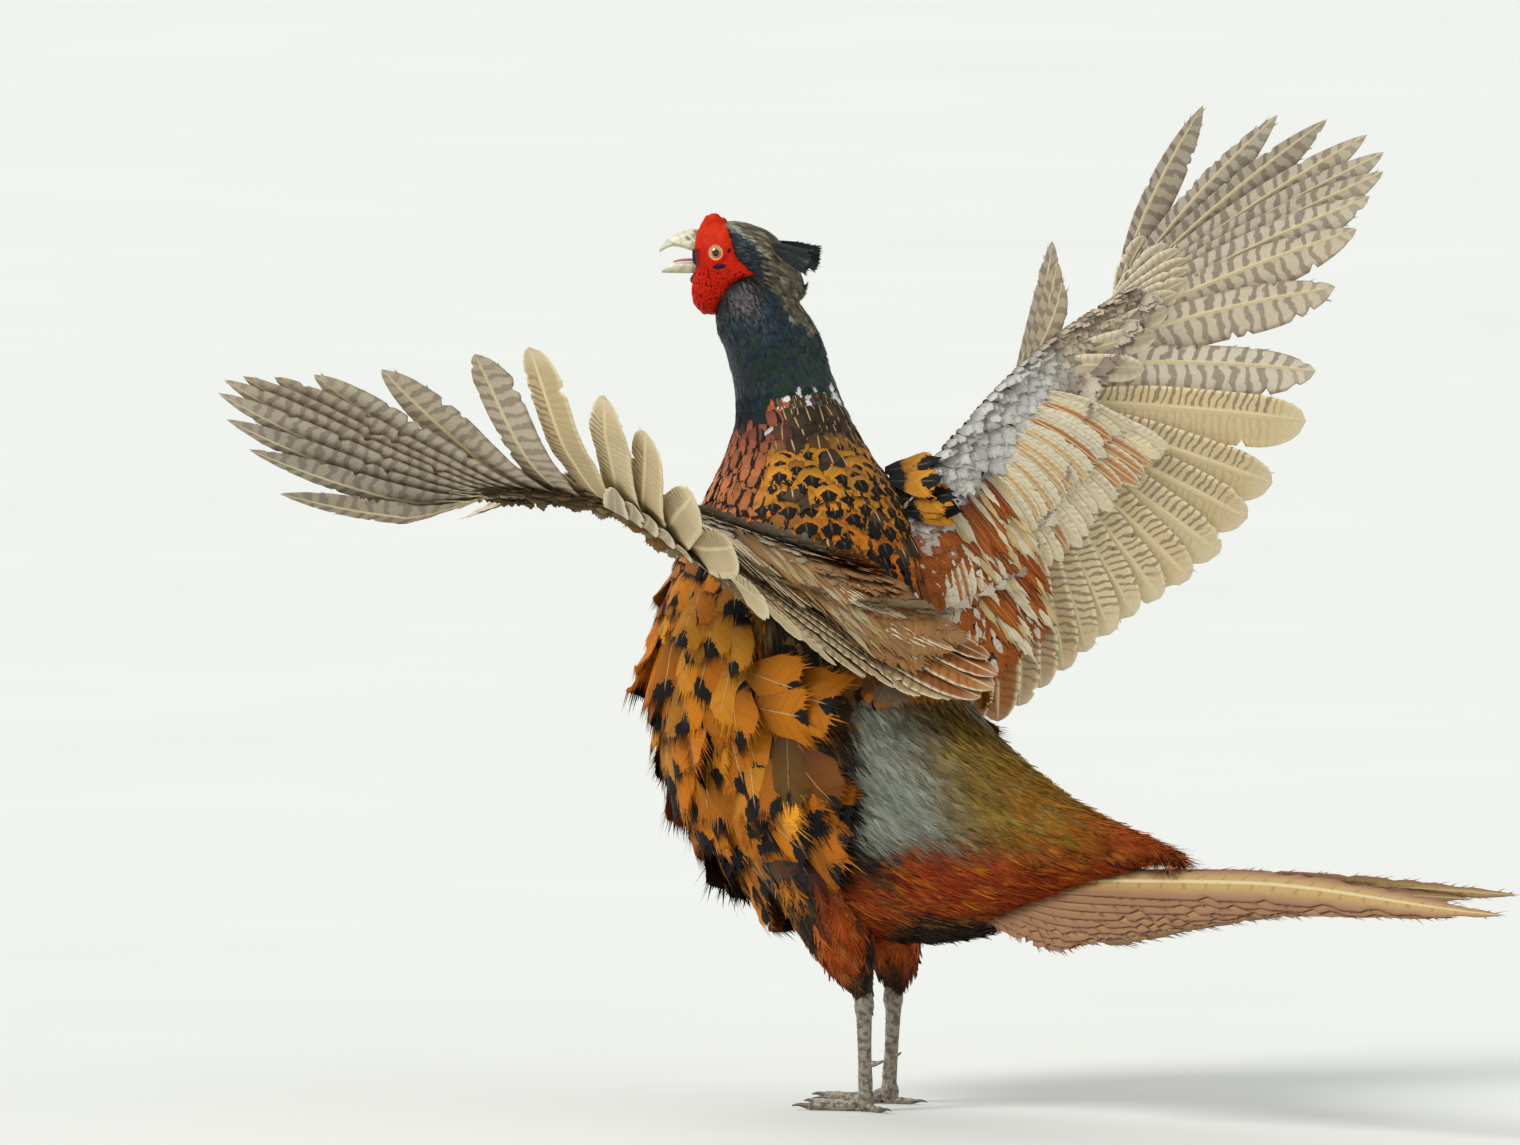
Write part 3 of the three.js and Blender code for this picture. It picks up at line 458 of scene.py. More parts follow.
def head_colours(local, speckle):
    """Ground and mark colours and signs on the head: olive grey above a pale line that runs back from over
    the eye and down to the nape's border, dark blue green under it, and brown black on the cheek."""
    forward, up = local[:, 0], local[:, 1]
    shape = (len(local), 3)
    line = np.interp(-forward, [-2, 4.7, 18.4, 26, 27.6, 41, 53], [18.5, 15.6, 7.3, -1, -17.6, -32, -41])
    over = up - line + 1.6 * (speckle - 0.5)
    ground = np.broadcast_to(colour("0d1a22"), shape).copy()
    ground = mixed(ground, speckle > 0.7, colour("16303a"))
    cheek = ease(-forward, 3, 7) * (1 - ease(-forward, 24, 29)) * ease(-up, 11, 14) * (1 - ease(-up, 28, 33))
    ground = mixed(ground, cheek, colour("1c1411"))
    throat = ease(forward, -6, 2) * ease(-up, 8, 14)
    ground = mixed(ground, throat, colour("0b0d0f"))
    crown = ease(over, 0.0, 1.2)
    grey = mixed(np.broadcast_to(colour("66614e"), shape), speckle > 0.78, colour("938d75"))
    grey = mixed(grey, speckle < 0.25, colour("3c382b"))
    ground = mixed(ground, crown, grey)
    white = (np.abs(over) < 1.1) * (forward < -3) * (forward > -27)
    ground = mixed(ground, white * 0.8, colour("c4c2b6"))
    ground = mixed(ground, ease(forward, 4, 9) * ease(up, -6, 0), colour("0e0d0e"))
    signs = np.zeros((len(local), 4))
    signs[:, 2] = 0.5 * crown
    return ground, np.broadcast_to(colour("0a0b0c"), shape).copy(), signs


def plumage(points, ring, angle, speckle):
    """The markings of the coat at places on the body: the ground colour, the colour of the marks, and the
    marks themselves as dark margin, dark tip, pale shaft and white drop. Speckle breaks up the borders."""
    shape = (len(points), 3)
    signs = np.zeros((len(points), 4))

    def flat(text):
        """One colour for every place."""
        return np.broadcast_to(colour(text), shape).copy()

    back = np.cos(angle) + 0.12 * (speckle - 0.5)
    k = ring + 0.35 * (speckle - 0.5)
    m = points[:, 0] - np.abs(points[:, 1]) + 14 * (speckle - 0.5)
    z = points[:, 2] + 10 * (speckle - 0.5)
    low = ring > 7.0
    ground = mixed(flat("8d5340"), ease(k, 4.2, 5.4), colour("b1724e"))
    ground = mixed(ground, ease(k, 5.4, 7.0), colour("ba7843"))
    mark = flat("170b0f")
    signs[:, 0] = 0.5

    wide = 0.42 - 0.3 * np.clip((k - 4.2) / 3, 0, 1)
    mantle = ease(back, wide, wide + 0.14) * ease(k, 4.1, 4.5) * (1 - ease(k, 7.3, 8.0))
    gold = mixed(flat("bd8648"), ease(k, 5.2, 7.2), colour("b06a34"))
    ground = mixed(ground, mantle, mixed(gold, speckle > 0.85, colour("98653a")))
    mark = mixed(mark, mantle, colour("0e0a08"))
    signs = mixed(signs, mantle, np.array([0.06, 0.9, 0.15, 0.0]))
    shaft = ease(back, 0.48, 0.6) * ease(k, 3.3, 3.45) * (1 - ease(k, 4.3, 4.8))
    shaft = np.maximum(shaft, mantle * (speckle > 0.45) * (speckle < 0.55))
    ground = mixed(ground, shaft, mixed(flat("35291f"), speckle > 0.5, colour("4a3b2d")))
    mark = mixed(mark, shaft, colour("1c1510"))
    signs = mixed(signs, shaft, np.array([0.08, 0.0, 1.0, 0.0]))

    shoulder = ease(k, 7.3, 7.9) * ease(back, 0.5, 0.65) * (1 - ease(k, 8.3, 8.9))
    ground = mixed(ground, shoulder, colour("9a5530"))
    signs = mixed(signs, shoulder, np.array([0.06, 0.0, 0.1, 0.85]))
    flank = ease(k, 6.5, 7.1) * (1 - ease(back, 0.42, 0.55))
    ground = mixed(ground, flank, mixed(flat("b27036"), speckle > 0.6, colour("bd8446")))
    mark = mixed(mark, flank, colour("100b09"))
    signs = mixed(signs, flank, np.array([0.0, 0.75, 0.7, 0.0]))
    belly = low * ease(-back, 0.86, 0.96) * ease(k, 9.0, 10.5)
    lower = low * (1 - ease(z, 88, 124)) * (1 - ease(m, -66, -50))
    ground = mixed(ground, lower, colour("6e3319"))
    ground = mixed(ground, np.maximum(belly, low * (1 - ease(z, 84, 116))), colour("2c1b13"))
    signs = mixed(signs, np.maximum(low * (1 - ease(z, 84, 130)), belly), np.array([0.0, 0.2, 0.2, 0.0]))

    # Near-black down on the side behind the flank feathers and in the armpits, under the wings: partly the
    # down's own dark colour and partly painted shadow of the wings.
    armpit = low * ease(m, -104, -90) * ease(z, 232, 244) * (1 - ease(z, 322, 336)) * (
        1 - ease(back, 0.8, 0.95)
    )
    dark = low * ease(m, -80, -70) * (1 - ease(z, 225, 250)) * (1 - ease(k, 13.0, 14.0))
    dark = np.maximum(dark, armpit)
    dark_down_and_shadow = mixed(mixed(flat("1c140c"), speckle > 0.72, colour("3d301c")), speckle > 0.94, colour("5c4c2e"))
    ground = mixed(ground, dark, dark_down_and_shadow)
    signs = mixed(signs, dark, np.array([0.0, 0.0, 0.15, 0.0]))
    chestnut = low * ease(m, -60, -52) * (1 - ease(m, -24, -12)) * ease(z, 84, 96) * (1 - ease(z, 132, 152))
    ground = mixed(ground, chestnut, mixed(flat("a04e2e"), speckle > 0.7, colour("b5663f")))
    slate = mixed(mixed(flat("93978a"), speckle > 0.75, colour("7d8072")), speckle < 0.12, colour("aaaca0"))
    slate = mixed(
        slate, ease(m + 0.35 * (z - 200), 4, 62), mixed(flat("8d7440"), speckle > 0.5, colour("735f36"))
    )
    slate = mixed(slate, ease(m, 60, 120) * (speckle > 0.35), colour("96662a"))
    slate = mixed(slate, ease(m, 130, 180), colour("9a4f1c"))
    rump = low * ease(m, -36, -24) * ease(z, 156, 170) * (1 - ease(z, 240, 262))
    ground = mixed(ground, rump, slate)
    copper = low * ease(m, -14, 0) * ease(z, 112, 122) * (1 - ease(z, 150, 172))
    ground = mixed(ground, copper, mixed(flat("96431a"), speckle > 0.7, colour("b2662b")))
    signs = mixed(signs, np.maximum(rump, copper), np.array([0.0, 0.0, 0.2, 0.0]))
    vent = low * ease(m, -24, -6) * (1 - ease(z, 112, 122))
    ground = mixed(ground, vent, colour("2b1e15"))

    border = 3.85 - 0.5 * ease(np.cos(angle), 0.3, 0.62)
    glossy = 1 - ease(k, border - 0.02, border + 0.1)
    sheen = mixed(flat("08101a"), ease(back, -0.3, 0.5), colour("102b20"))
    sheen = mixed(sheen, speckle > 0.85, colour("0f1e34"))
    ground = mixed(ground, glossy, sheen)
    mark = mixed(mark, glossy, colour("030405"))
    signs = mixed(signs, glossy, np.array([0.2, 0.0, 0.0, 0.0]))
    left = np.sin(angle) < 0.5
    collar = left * (back > 0.55) * (ring > 3.1) * (ring < 3.6) * (speckle > 0.62)
    collar = np.maximum(collar, (np.abs(ring - 4.05) < 0.22) * (np.abs(angle % (2 * np.pi) - 5.2) < 0.11))
    ground = mixed(ground, collar, colour("e4e4e2"))
    bare = left * (np.abs(ring - 3.6) < 0.25) * (np.abs(angle % (2 * np.pi) - 5.3) < 0.22) * (speckle < 0.6)
    ground = mixed(ground, bare, colour("b8694e"))
    signs = mixed(signs, np.maximum(collar, bare), np.array([0.0, 0.0, 0.0, 0.0]))

    local = to_head(points)
    tinted, dark_tint, head_signs = head_colours(local, speckle)
    near_head = ease(points[:, 2], 448, 456) * ease(-local[:, 0], -20, -10)
    ground = mixed(ground, near_head, tinted)
    mark = mixed(mark, near_head, dark_tint)
    signs = mixed(signs, near_head, head_signs)
    return ground, mark, signs


def nearest_ring(points):
    """The ring and the angle about it of places on the body, from the middle line's closest stations."""
    stations = np.linspace(0, len(BODY_RINGS) - 1, 171)
    ring_back = body_point(stations, 0.0)
    ring_breast = body_point(stations, np.pi)
    middle = (ring_back + ring_breast) / 2
    away = ((points[:, None] - middle[None]) ** 2).sum(-1)
    best = away.argmin(1)
    up = unit(ring_back - ring_breast)[best]
    offset = points - middle[best]
    return stations[best], np.arctan2(offset[:, 1], (offset * up).sum(-1))


SKIN_GRAIN = 0.0028
forms = [
    closed_loft(lambda r, a: body_point(r, a, coat_depth(r) + 0.5), np.linspace(0, 16.6, 90), 64),
    closed_loft(lambda r, a: head_surface(r, a, 1.1), np.linspace(0.3, 8.8, 40), 48),
    closed_loft(
        lambda r, a: head_point(
            12 + 6.8 * np.cos(r), -16.5 + 4 * np.sin(r) * np.cos(a), 4.9 * np.sin(r) * np.sin(a)
        ),
        np.linspace(0.05, np.pi - 0.05, 24),
        24,
    ),
]
for side, wing in WINGS.items():
    forms.append(closed_loft(lambda r, a: thigh_point(side, r, a, 3.0), np.linspace(0, 4, 24), 32))
    forms.append(closed_loft(lambda r, a: core_point(wing, r, a, 2.5), np.linspace(0, 7.8, 40), 24))
skin = bpy.data.objects.new("skin", new_mesh("skin", *join_forms(forms)))
bpy.context.scene.collection.objects.link(skin)
remesh = skin.modifiers.new("one_surface", "REMESH")
remesh.mode = "VOXEL"
remesh.voxel_size = SKIN_GRAIN
soften = skin.modifiers.new("soften", "SMOOTH")
soften.factor = 0.5
soften.iterations = 4
whole = bpy.data.meshes.new_from_object(skin.evaluated_get(bpy.context.evaluated_depsgraph_get()))
bpy.data.objects.remove(skin)
skin_points = np.empty(len(whole.vertices) * 3)
whole.vertices.foreach_get("co", skin_points)
skin_points = skin_points.reshape(-1, 3) * 1000 - MOVE
skin_normals = np.empty(len(whole.vertices) * 3)
whole.vertex_normals.foreach_get("vector", skin_normals)
skin_normals = skin_normals.reshape(-1, 3)
ring, angle = nearest_ring(skin_points)
ground, mark, signs = plumage(skin_points, ring, angle, rng.random(len(skin_points)))
# The skin shows only in the gaps between feathers, so its colour is darkened to 0.6 of the coat's, and to
# 0.12 under the flank feathers: painted shade in those gaps.
under_flank = (ring > 6.8) & (skin_points[:, 0] - np.abs(skin_points[:, 1]) < -40)
painted_gap_shade = np.where(under_flank, 0.12, 0.6)[:, None]
whole.attributes.new("ground", "FLOAT_COLOR", "POINT").data.foreach_set(
    "color", np.concatenate(
        [ground * painted_gap_shade, np.ones((len(ground), 1))], 1
    ).astype(np.float32).ravel()
)
whole.polygons.foreach_set("use_smooth", np.ones(len(whole.polygons), bool))
whole.name = "skin"
skin_material, tree, shader = new_material("skin_with_down", roughness=0.9)
own_colour = add(tree, "ShaderNodeAttribute", attribute_name="ground").outputs["Color"]
dress(tree, shader, own_colour, noise(tree, 900.0, 3.0), 0.6, 0.0006)
new_piece(
    "skin", whole, skin_material, "body_plumage", "head", "neck", "torso", "rump", "thigh_left", "thigh_right"
)


# The contour feathers of neck, breast, back, flanks, belly and rump, rooted in the skin in rows, each over
# the root of the next. On neck, rump and armpits they are loose barbs, and elsewhere closed vanes that fray
# at the rim. Three broad ones stand up on each flank, and golden cape feathers over the right shoulder.
TUFT_PATCH = 0.003


def per_feather(values, count):
    """A number for every feather, from one number or from an array of them."""
    return np.broadcast_to(np.asarray(values, float), (count,))


def barbed_feathers(root, axis, up, length, width, barbs, fray, bend, sweep=0.22, cup=0.25):
    """Feathers made of barbs. A barb leaves the shaft at its place along it, runs out to the side to the
    feather's outline and forward by the sweep, and narrows and strays at its end by the fray. The shaft
    climbs and then bends back to the body. Gives points, faces, and each point's place across and along."""
    count = len(root)
    length, width, fray, bend = (per_feather(values, count) for values in (length, width, fray, bend))
    axis = unit(axis)
    up = unit(up - axis * (up * axis).sum(-1, keepdims=True))
    aside = np.cross(axis, up)
    place = (np.arange(barbs) + 0.5) / barbs
    leaves = 0.10 + 0.82 * place
    reach = np.sin(np.pi * (0.18 + 0.80 * place)) ** 0.7
    ahead = sweep * (1 - 0.3 * place)
    q = np.array([0.03, 0.55, 1.0])
    side = np.array([-1.0, 1.0])
    stray = rng.normal(size=(3, count, 2, barbs)) * fray[:, None, None]
    tip = 1 + 0.22 * stray[2]
    full = (count, 2, barbs, len(q), 2)
    along = leaves[:, None] + ahead[:, None] * q**1.3
    half = 0.5 * 0.82 / barbs * 1.5
    taper = 1 - (0.25 + 0.6 * fray)[:, None] * q**1.5
    edge = np.array([-1.0, 1.0])
    v = along[None, None, :, :, None] + edge * (half * taper)[:, None, None, :, None]
    v = v + (0.05 * stray[0])[..., None, None] * q[:, None] ** 2
    x = side[None, :, None, None, None] * (reach[:, None] * q)[None, None, :, :, None] * tip[..., None, None]
    x = np.broadcast_to(x, full) * width[:, None, None, None, None]
    v = np.broadcast_to(v, full)
    lift = (0.06 * stray[1])[..., None, None] * q[:, None] ** 2
    flat = [c.reshape(count, -1) for c in (x, v, np.broadcast_to(lift, full))]
    shaft_v = np.array([0.0, 0.35, 0.7, 0.97])
    shaft_x = np.array([0.5, 0.42, 0.3, 0.08])[:, None] * np.array([-1.0, 1.0])
    shaft_v = np.broadcast_to(shaft_v[:, None], (4, 2)).ravel()
    thick = np.clip(width * 0.075, 0.12, 0.55)
    flat[0] = np.concatenate([flat[0], shaft_x.ravel()[None] * thick[:, None]], 1)
    flat[1] = np.concatenate([flat[1], np.broadcast_to(shaft_v, (count, 8))], 1)
    flat[2] = np.concatenate([flat[2], np.zeros((count, 8))], 1)
    x, v, lift = flat
    rise = length[:, None] * (lift - bend[:, None] * v * v) - cup * x * x / np.maximum(width[:, None], 1e-6)
    rise[:, -8:] += 0.12 + 0.1 * thick[:, None]
    points = (
        root[:, None]
        + axis[:, None] * (length[:, None] * v)[..., None]
        + aside[:, None] * x[..., None]
        + up[:, None] * rise[..., None]
    )
    cell = np.array([[0, 1, 3, 2], [2, 3, 5, 4]])
    each = (np.arange(2 * barbs) * 6)[:, None, None] + cell
    each[:barbs] = each[:barbs, :, ::-1]
    strip = 12 * barbs + np.array([[0, 1, 3, 2], [2, 3, 5, 4], [4, 5, 7, 6]])
    faces = np.concatenate([each.reshape(-1, 4), strip])
    faces = (np.arange(count) * points.shape[1])[:, None, None] + faces
    across = np.broadcast_to(side[None, :, None, None, None] * q[:, None], full).reshape(count, -1)
    across = np.concatenate([across, np.zeros((count, 8))], 1)
    return points, faces.reshape(-1, 4), across, v


def sheet_feathers(root, axis, up, length, width, stations, columns, sweep=0.16, close=0.35, tip=0.12,
                   hairs=8, hair=0.08, bend=0.2, cup=0.2, twist=0.0, uneven=0.02):
    """Feathers with a closed vane. Lines across it leave the shaft and run forward to both rims. The half
    width grows as a sine and closes a little to the end, which is round for a positive tip and notched for
    a negative one. The shaft bends to the body. Loose ends of barbs, each a narrow triangle, stand out
    from both rims and the end in the direction of the barbs."""
    count = len(root)
    length, width = per_feather(length, count), per_feather(width, count)
    axis = unit(axis)
    up = unit(up - axis * (up * axis).sum(-1, keepdims=True))
    aside = np.cross(axis, up)
    wander = rng.normal(size=(count, 1, 2)) * uneven
    turned = twist * rng.normal(size=(count, 1))
    fall = -per_feather(bend, count)[:, None]

    def vane_at(v, q):
        """Sideways place, place along and height above the root, at a place on the shaft and across."""
        reach = np.abs(q)
        swept = sweep * reach**1.2 * ease(v, 0, 0.3) * (1 - ease(v, 0.7, 1))
        along = v + swept - tip * reach**2 * ease(v, 0.55, 1)
        profile = (0.25 + 0.75 * np.sin(np.pi / 2 * np.clip(v / 0.45, 0, 1))) * (1 - close * ease(v, 0.6, 1))
        wave = wander[..., 0] * np.sin(9 * v + 4 * q) + wander[..., 1] * np.sin(17 * v - 3 * q)
        along = along + wave * v
        x = q * profile * (1 + wave * 1.5)
        rise = fall * v * v * length[:, None] - cup * width[:, None] * x**2 + turned * v * x * width[:, None]
        return x * width[:, None], along, rise

    def placed(x, along, rise):
        """Points in the body's space from places aside, along and above the roots."""
        return (
            root[:, None]
            + axis[:, None] * (length[:, None] * along)[..., None]
            + aside[:, None] * x[..., None]
            + up[:, None] * rise[..., None]
        )

    v, q = np.meshgrid(np.linspace(0, 1, stations), np.linspace(-1, 1, columns), indexing="ij")
    x, along, rise = vane_at(v.ravel()[None], q.ravel()[None])
    across = np.broadcast_to(q.ravel(), x.shape)
    i, j = np.meshgrid(np.arange(stations - 1), np.arange(columns - 1), indexing="ij")
    a = (i * columns + j).ravel()
    faces = [np.stack([a, a + 1, a + columns + 1, a + columns], -1)]

    on_side = np.linspace(0.3, 0.97, hairs)
    on_end = np.linspace(-0.9, 0.9, max(hairs // 2, 3))
    hair_v = np.concatenate([on_side, on_side, np.full(len(on_end), 0.985)])
    hair_q = np.concatenate([np.full(hairs, 0.95), np.full(hairs, -0.95), on_end])
    spread = np.concatenate([np.full(hairs, 0.45), np.full(hairs, -0.45), 0.35 * on_end])
    half = np.concatenate([np.full(2 * hairs, 0.55 * 0.67 / hairs), np.zeros(len(on_end))])
    half_q = np.concatenate([np.zeros(2 * hairs), np.full(len(on_end), 0.9 / len(on_end))])
    one = vane_at((hair_v - half)[None], (hair_q - half_q)[None])
    two = vane_at(np.minimum(hair_v + half, 1)[None], (hair_q + half_q)[None])
    reach = hair * (1 + 0.7 * rng.normal(size=(count, len(hair_v))))
    stray = spread + 0.15 * rng.normal(size=(count, len(hair_v)))
    end = (
        (one[0] + two[0]) / 2 + stray * reach * length[:, None],
        (one[1] + two[1]) / 2 + reach,
        (one[2] + two[2]) / 2 - 0.3 * reach * width[:, None],
    )
    grid = stations * columns
    many = len(hair_v)
    k = np.arange(many) + grid
    hair_faces = np.stack([k, k + many, k + 2 * many], -1)
    hair_faces[hair_q > 0.94] = hair_faces[hair_q > 0.94][:, ::-1]
    x, along, rise = (np.concatenate([m, o, t, e], 1) for m, o, t, e in zip((x, along, rise), one, two, end))
    across = np.concatenate([across, *(np.broadcast_to(hair_q, (count, many)),) * 3], 1)
    points = placed(x, along, rise)
    start = (np.arange(count) * points.shape[1])[:, None, None]
    faces = [(start + faces[0]).reshape(-1, 4), (start + hair_faces).reshape(-1, 3)]
    return points, faces, across, np.clip(along, 0, 1.2)


def feather_piece(name, fields, material, slot, *replaced):
    """One mesh of many feathers. Each field has the feathers' points, faces, places across and along, their
    ground and mark colours and signs, and each root's place on an unwrap of the surface it grows from."""
    points, faces, vane, bake, tints, start = [], [], [], [], {"ground": [], "mark": [], "signs": []}, 0
    for p, f, across, along, ground, mark, signs, root_on_map in fields:
        count, number = p.shape[:2]
        points.append(p.reshape(-1, 3))
        faces += [g + start for g in (f if isinstance(f, list) else [f])]
        start += count * number
        on_vane = np.stack([0.5 + 0.5 * across, np.clip(along, 0, 1.2) / 1.2], -1)
        vane.append(on_vane.reshape(-1, 2))
        bake.append((root_on_map[:, None] + (on_vane - 0.5) * TUFT_PATCH).reshape(-1, 2))
        for key, values in (("ground", ground), ("mark", mark), ("signs", signs)):
            tints[key].append(np.repeat(np.broadcast_to(values, (count, np.shape(values)[-1])), number, 0))
    mesh = new_mesh(
        name,
        np.concatenate(points),
        faces,
        {"OFBake": np.concatenate(bake), "vane": np.concatenate(vane)},
        {key: np.concatenate(values) for key, values in tints.items()},
    )
    return new_piece(name, mesh, material, slot, *replaced)


def unwrap(u, v, share=0.97, start=0.015):
    """Places on the baking map, from shares round and along a surface, a little in from the map's rim."""
    return np.stack([u, v], -1) * share + start


def body_unwrap(ring, angle):
    """The unwrap of trunk and neck: the angle about the body against the ring."""
    return unwrap((angle / (2 * np.pi)) % 1, ring / 17)


def math(tree, operation, a, b=0.5, c=0.5, clamp=False):
    """A sum of shader numbers, each of them a socket or a value."""
    made = add(tree, "ShaderNodeMath", operation=operation, use_clamp=clamp)
    for socket, value in zip(made.inputs, (a, b, c)):
        if isinstance(value, bpy.types.NodeSocket):
            tree.links.new(value, socket)
        else:
            socket.default_value = value
    return made.outputs[0]


def slope(tree, value, low, high):
    """A smooth 0 to 1 as the value climbs from low to high, either of which may be a socket."""
    limits = {"Value": value, "From Min": low, "From Max": high}
    return add(tree, "ShaderNodeMapRange", limits, interpolation_type="SMOOTHSTEP").outputs["Result"]


def gray(tree, value):
    """A shader number as a grey of that brightness."""
    return add(tree, "ShaderNodeCombineColor", {0: value, 1: value, 2: value}).outputs[0]


def new_group(name, inputs, outputs):
    """An empty node group with named sockets, and its input and output nodes."""
    group = bpy.data.node_groups.new(name, "ShaderNodeTree")
    for direction, sockets in (("INPUT", inputs), ("OUTPUT", outputs)):
        for label, kind in sockets.items():
            group.interface.new_socket(label, in_out=direction, socket_type=kind)
    return group, group.nodes.new("NodeGroupInput"), group.nodes.new("NodeGroupOutput")


NUMBER, TINT, PLACE = "NodeSocketFloat", "NodeSocketColor", "NodeSocketVector"
feather_marks, source, result = new_group(
    "feather_marks",
    {
        "Vane": PLACE, "Ground": TINT, "Mark": TINT, "Signs": TINT, "Drop": NUMBER, "Barbs": NUMBER,
        "Spot From": NUMBER, "Shaft Width": NUMBER,
    },
    {"Color": TINT, "Height": NUMBER},
)
tree = feather_marks
place = add(tree, "ShaderNodeSeparateXYZ", {0: source.outputs["Vane"]})
across = math(tree, "ABSOLUTE", math(tree, "MULTIPLY_ADD", place.outputs["X"], 2.0, -1.0))
along = math(tree, "MULTIPLY", place.outputs["Y"], 1.2)
coordinates = add(tree, "ShaderNodeTexCoord")
ragged = add(
    tree, "ShaderNodeTexNoise", {"Vector": coordinates.outputs["Object"], "Scale": 260.0, "Detail": 2.0}
)
wobble = math(tree, "MULTIPLY_ADD", ragged.outputs[0], 0.22, -0.11)
kinds = add(tree, "ShaderNodeSeparateColor", {0: source.outputs["Signs"]})
rim = math(tree, "ADD", math(tree, "MAXIMUM", across, slope(tree, along, 0.72, 1.12)), wobble)
margin_at = math(tree, "SUBTRACT", 1.08, kinds.outputs["Red"])
margin = slope(tree, rim, margin_at, math(tree, "ADD", margin_at, 0.12))
wedge_end = math(tree, "ADD", source.outputs["Spot From"], 0.24)
wedge = slope(
    tree, math(tree, "ADD", along, math(tree, "MULTIPLY", wobble, 1.6)), source.outputs["Spot From"],
    wedge_end
)
wedge = math(tree, "MULTIPLY", wedge, math(tree, "MULTIPLY", kinds.outputs["Green"], 0.85))
wedge_rim = math(tree, "SUBTRACT", wedge, math(tree, "ADD", across, math(tree, "MULTIPLY", wobble, 2.4)))
tip = math(
    tree, "MULTIPLY", slope(tree, wedge_rim, 0.0, 0.08),
    math(tree, "GREATER_THAN", kinds.outputs["Green"], 0.08)
)
hidden = math(tree, "SUBTRACT", 1.0, slope(tree, math(tree, "ADD", along, wobble), 0.26, 0.38))
hidden = math(tree, "MULTIPLY", hidden, slope(tree, kinds.outputs["Green"], 0.6, 0.8))
drop_across = math(tree, "POWER", math(tree, "MULTIPLY", across, 0.62), 2.0)
drop_along = math(tree, "POWER", math(tree, "SUBTRACT", along, 0.80), 2.0)
drop_reach = math(tree, "SQRT", math(tree, "ADD", drop_across, drop_along))
drop_reach = math(tree, "ADD", drop_reach, math(tree, "MULTIPLY", wobble, 1.0))
drop_size = math(tree, "MULTIPLY", source.outputs["Drop"], 0.19)
ring_along = math(tree, "POWER", math(tree, "SUBTRACT", along, 0.73), 2.0)
ring_reach = math(tree, "ADD", math(tree, "SQRT", math(tree, "ADD", drop_across, ring_along)), wobble)
ring_to = math(tree, "MULTIPLY_ADD", drop_size, 1.1, 0.01)
ring = math(tree, "SUBTRACT", 1.0, slope(tree, ring_reach, math(tree, "MULTIPLY", drop_size, 0.95), ring_to))
white_from = math(tree, "MULTIPLY", drop_size, 0.8)
white_to = math(tree, "MULTIPLY_ADD", drop_size, 0.95, 0.01)
white = math(tree, "SUBTRACT", 1.0, slope(tree, drop_reach, white_from, white_to))
has_drop = math(tree, "GREATER_THAN", source.outputs["Drop"], 0.08)
barb_line = math(tree, "SUBTRACT", along, math(tree, "MULTIPLY", across, 0.25))
barb_line = math(tree, "MULTIPLY", barb_line, source.outputs["Barbs"])
on_barbs = add(
    tree, "ShaderNodeCombineXYZ", {0: barb_line, 1: across, 2: math(tree, "MULTIPLY", ragged.outputs[0], 3.0)}
)
streak = add(
    tree, "ShaderNodeTexNoise",
    {"Vector": on_barbs.outputs[0], "Scale": 0.5, "Detail": 3.0, "Roughness": 0.65}
)
fine = add(
    tree, "ShaderNodeTexNoise", {"Vector": coordinates.outputs["Object"], "Scale": 1400.0, "Detail": 1.0}
)
shade = math(tree, "MULTIPLY_ADD", streak.outputs[0], 0.9, 0.32)
shade = math(tree, "ADD", shade, math(tree, "MULTIPLY_ADD", fine.outputs[0], 0.3, -0.1))
# Each feather grows darker towards its root, down to 0.45: painted shade from the feather that lies over it.
shade = math(tree, "MULTIPLY", shade, math(tree, "MULTIPLY_ADD", slope(tree, along, 0.05, 0.7), 0.55, 0.45))
marked = math(tree, "MAXIMUM", math(tree, "MAXIMUM", margin, tip), hidden)
painted = mix(tree, marked, source.outputs["Ground"], source.outputs["Mark"])
painted = mix(tree, math(tree, "MULTIPLY", ring, has_drop), painted, source.outputs["Mark"])
painted = mix(tree, math(tree, "MULTIPLY", white, has_drop), painted, rgba("ddd5c8"))
shaft_from = math(tree, "MULTIPLY", source.outputs["Shaft Width"], 0.4)
shaft = math(tree, "SUBTRACT", 1.0, slope(tree, across, shaft_from, source.outputs["Shaft Width"]))
shaft = math(tree, "MULTIPLY", shaft, math(tree, "SUBTRACT", 1.0, slope(tree, along, 0.8, 0.95)))
painted = mix(tree, math(tree, "MULTIPLY", shaft, kinds.outputs["Blue"]), painted, rgba("d3b083"))
painted = mix(tree, 1.0, painted, gray(tree, shade), "MULTIPLY")
tree.links.new(painted, result.inputs["Color"])
tree.links.new(streak.outputs[0], result.inputs["Height"])


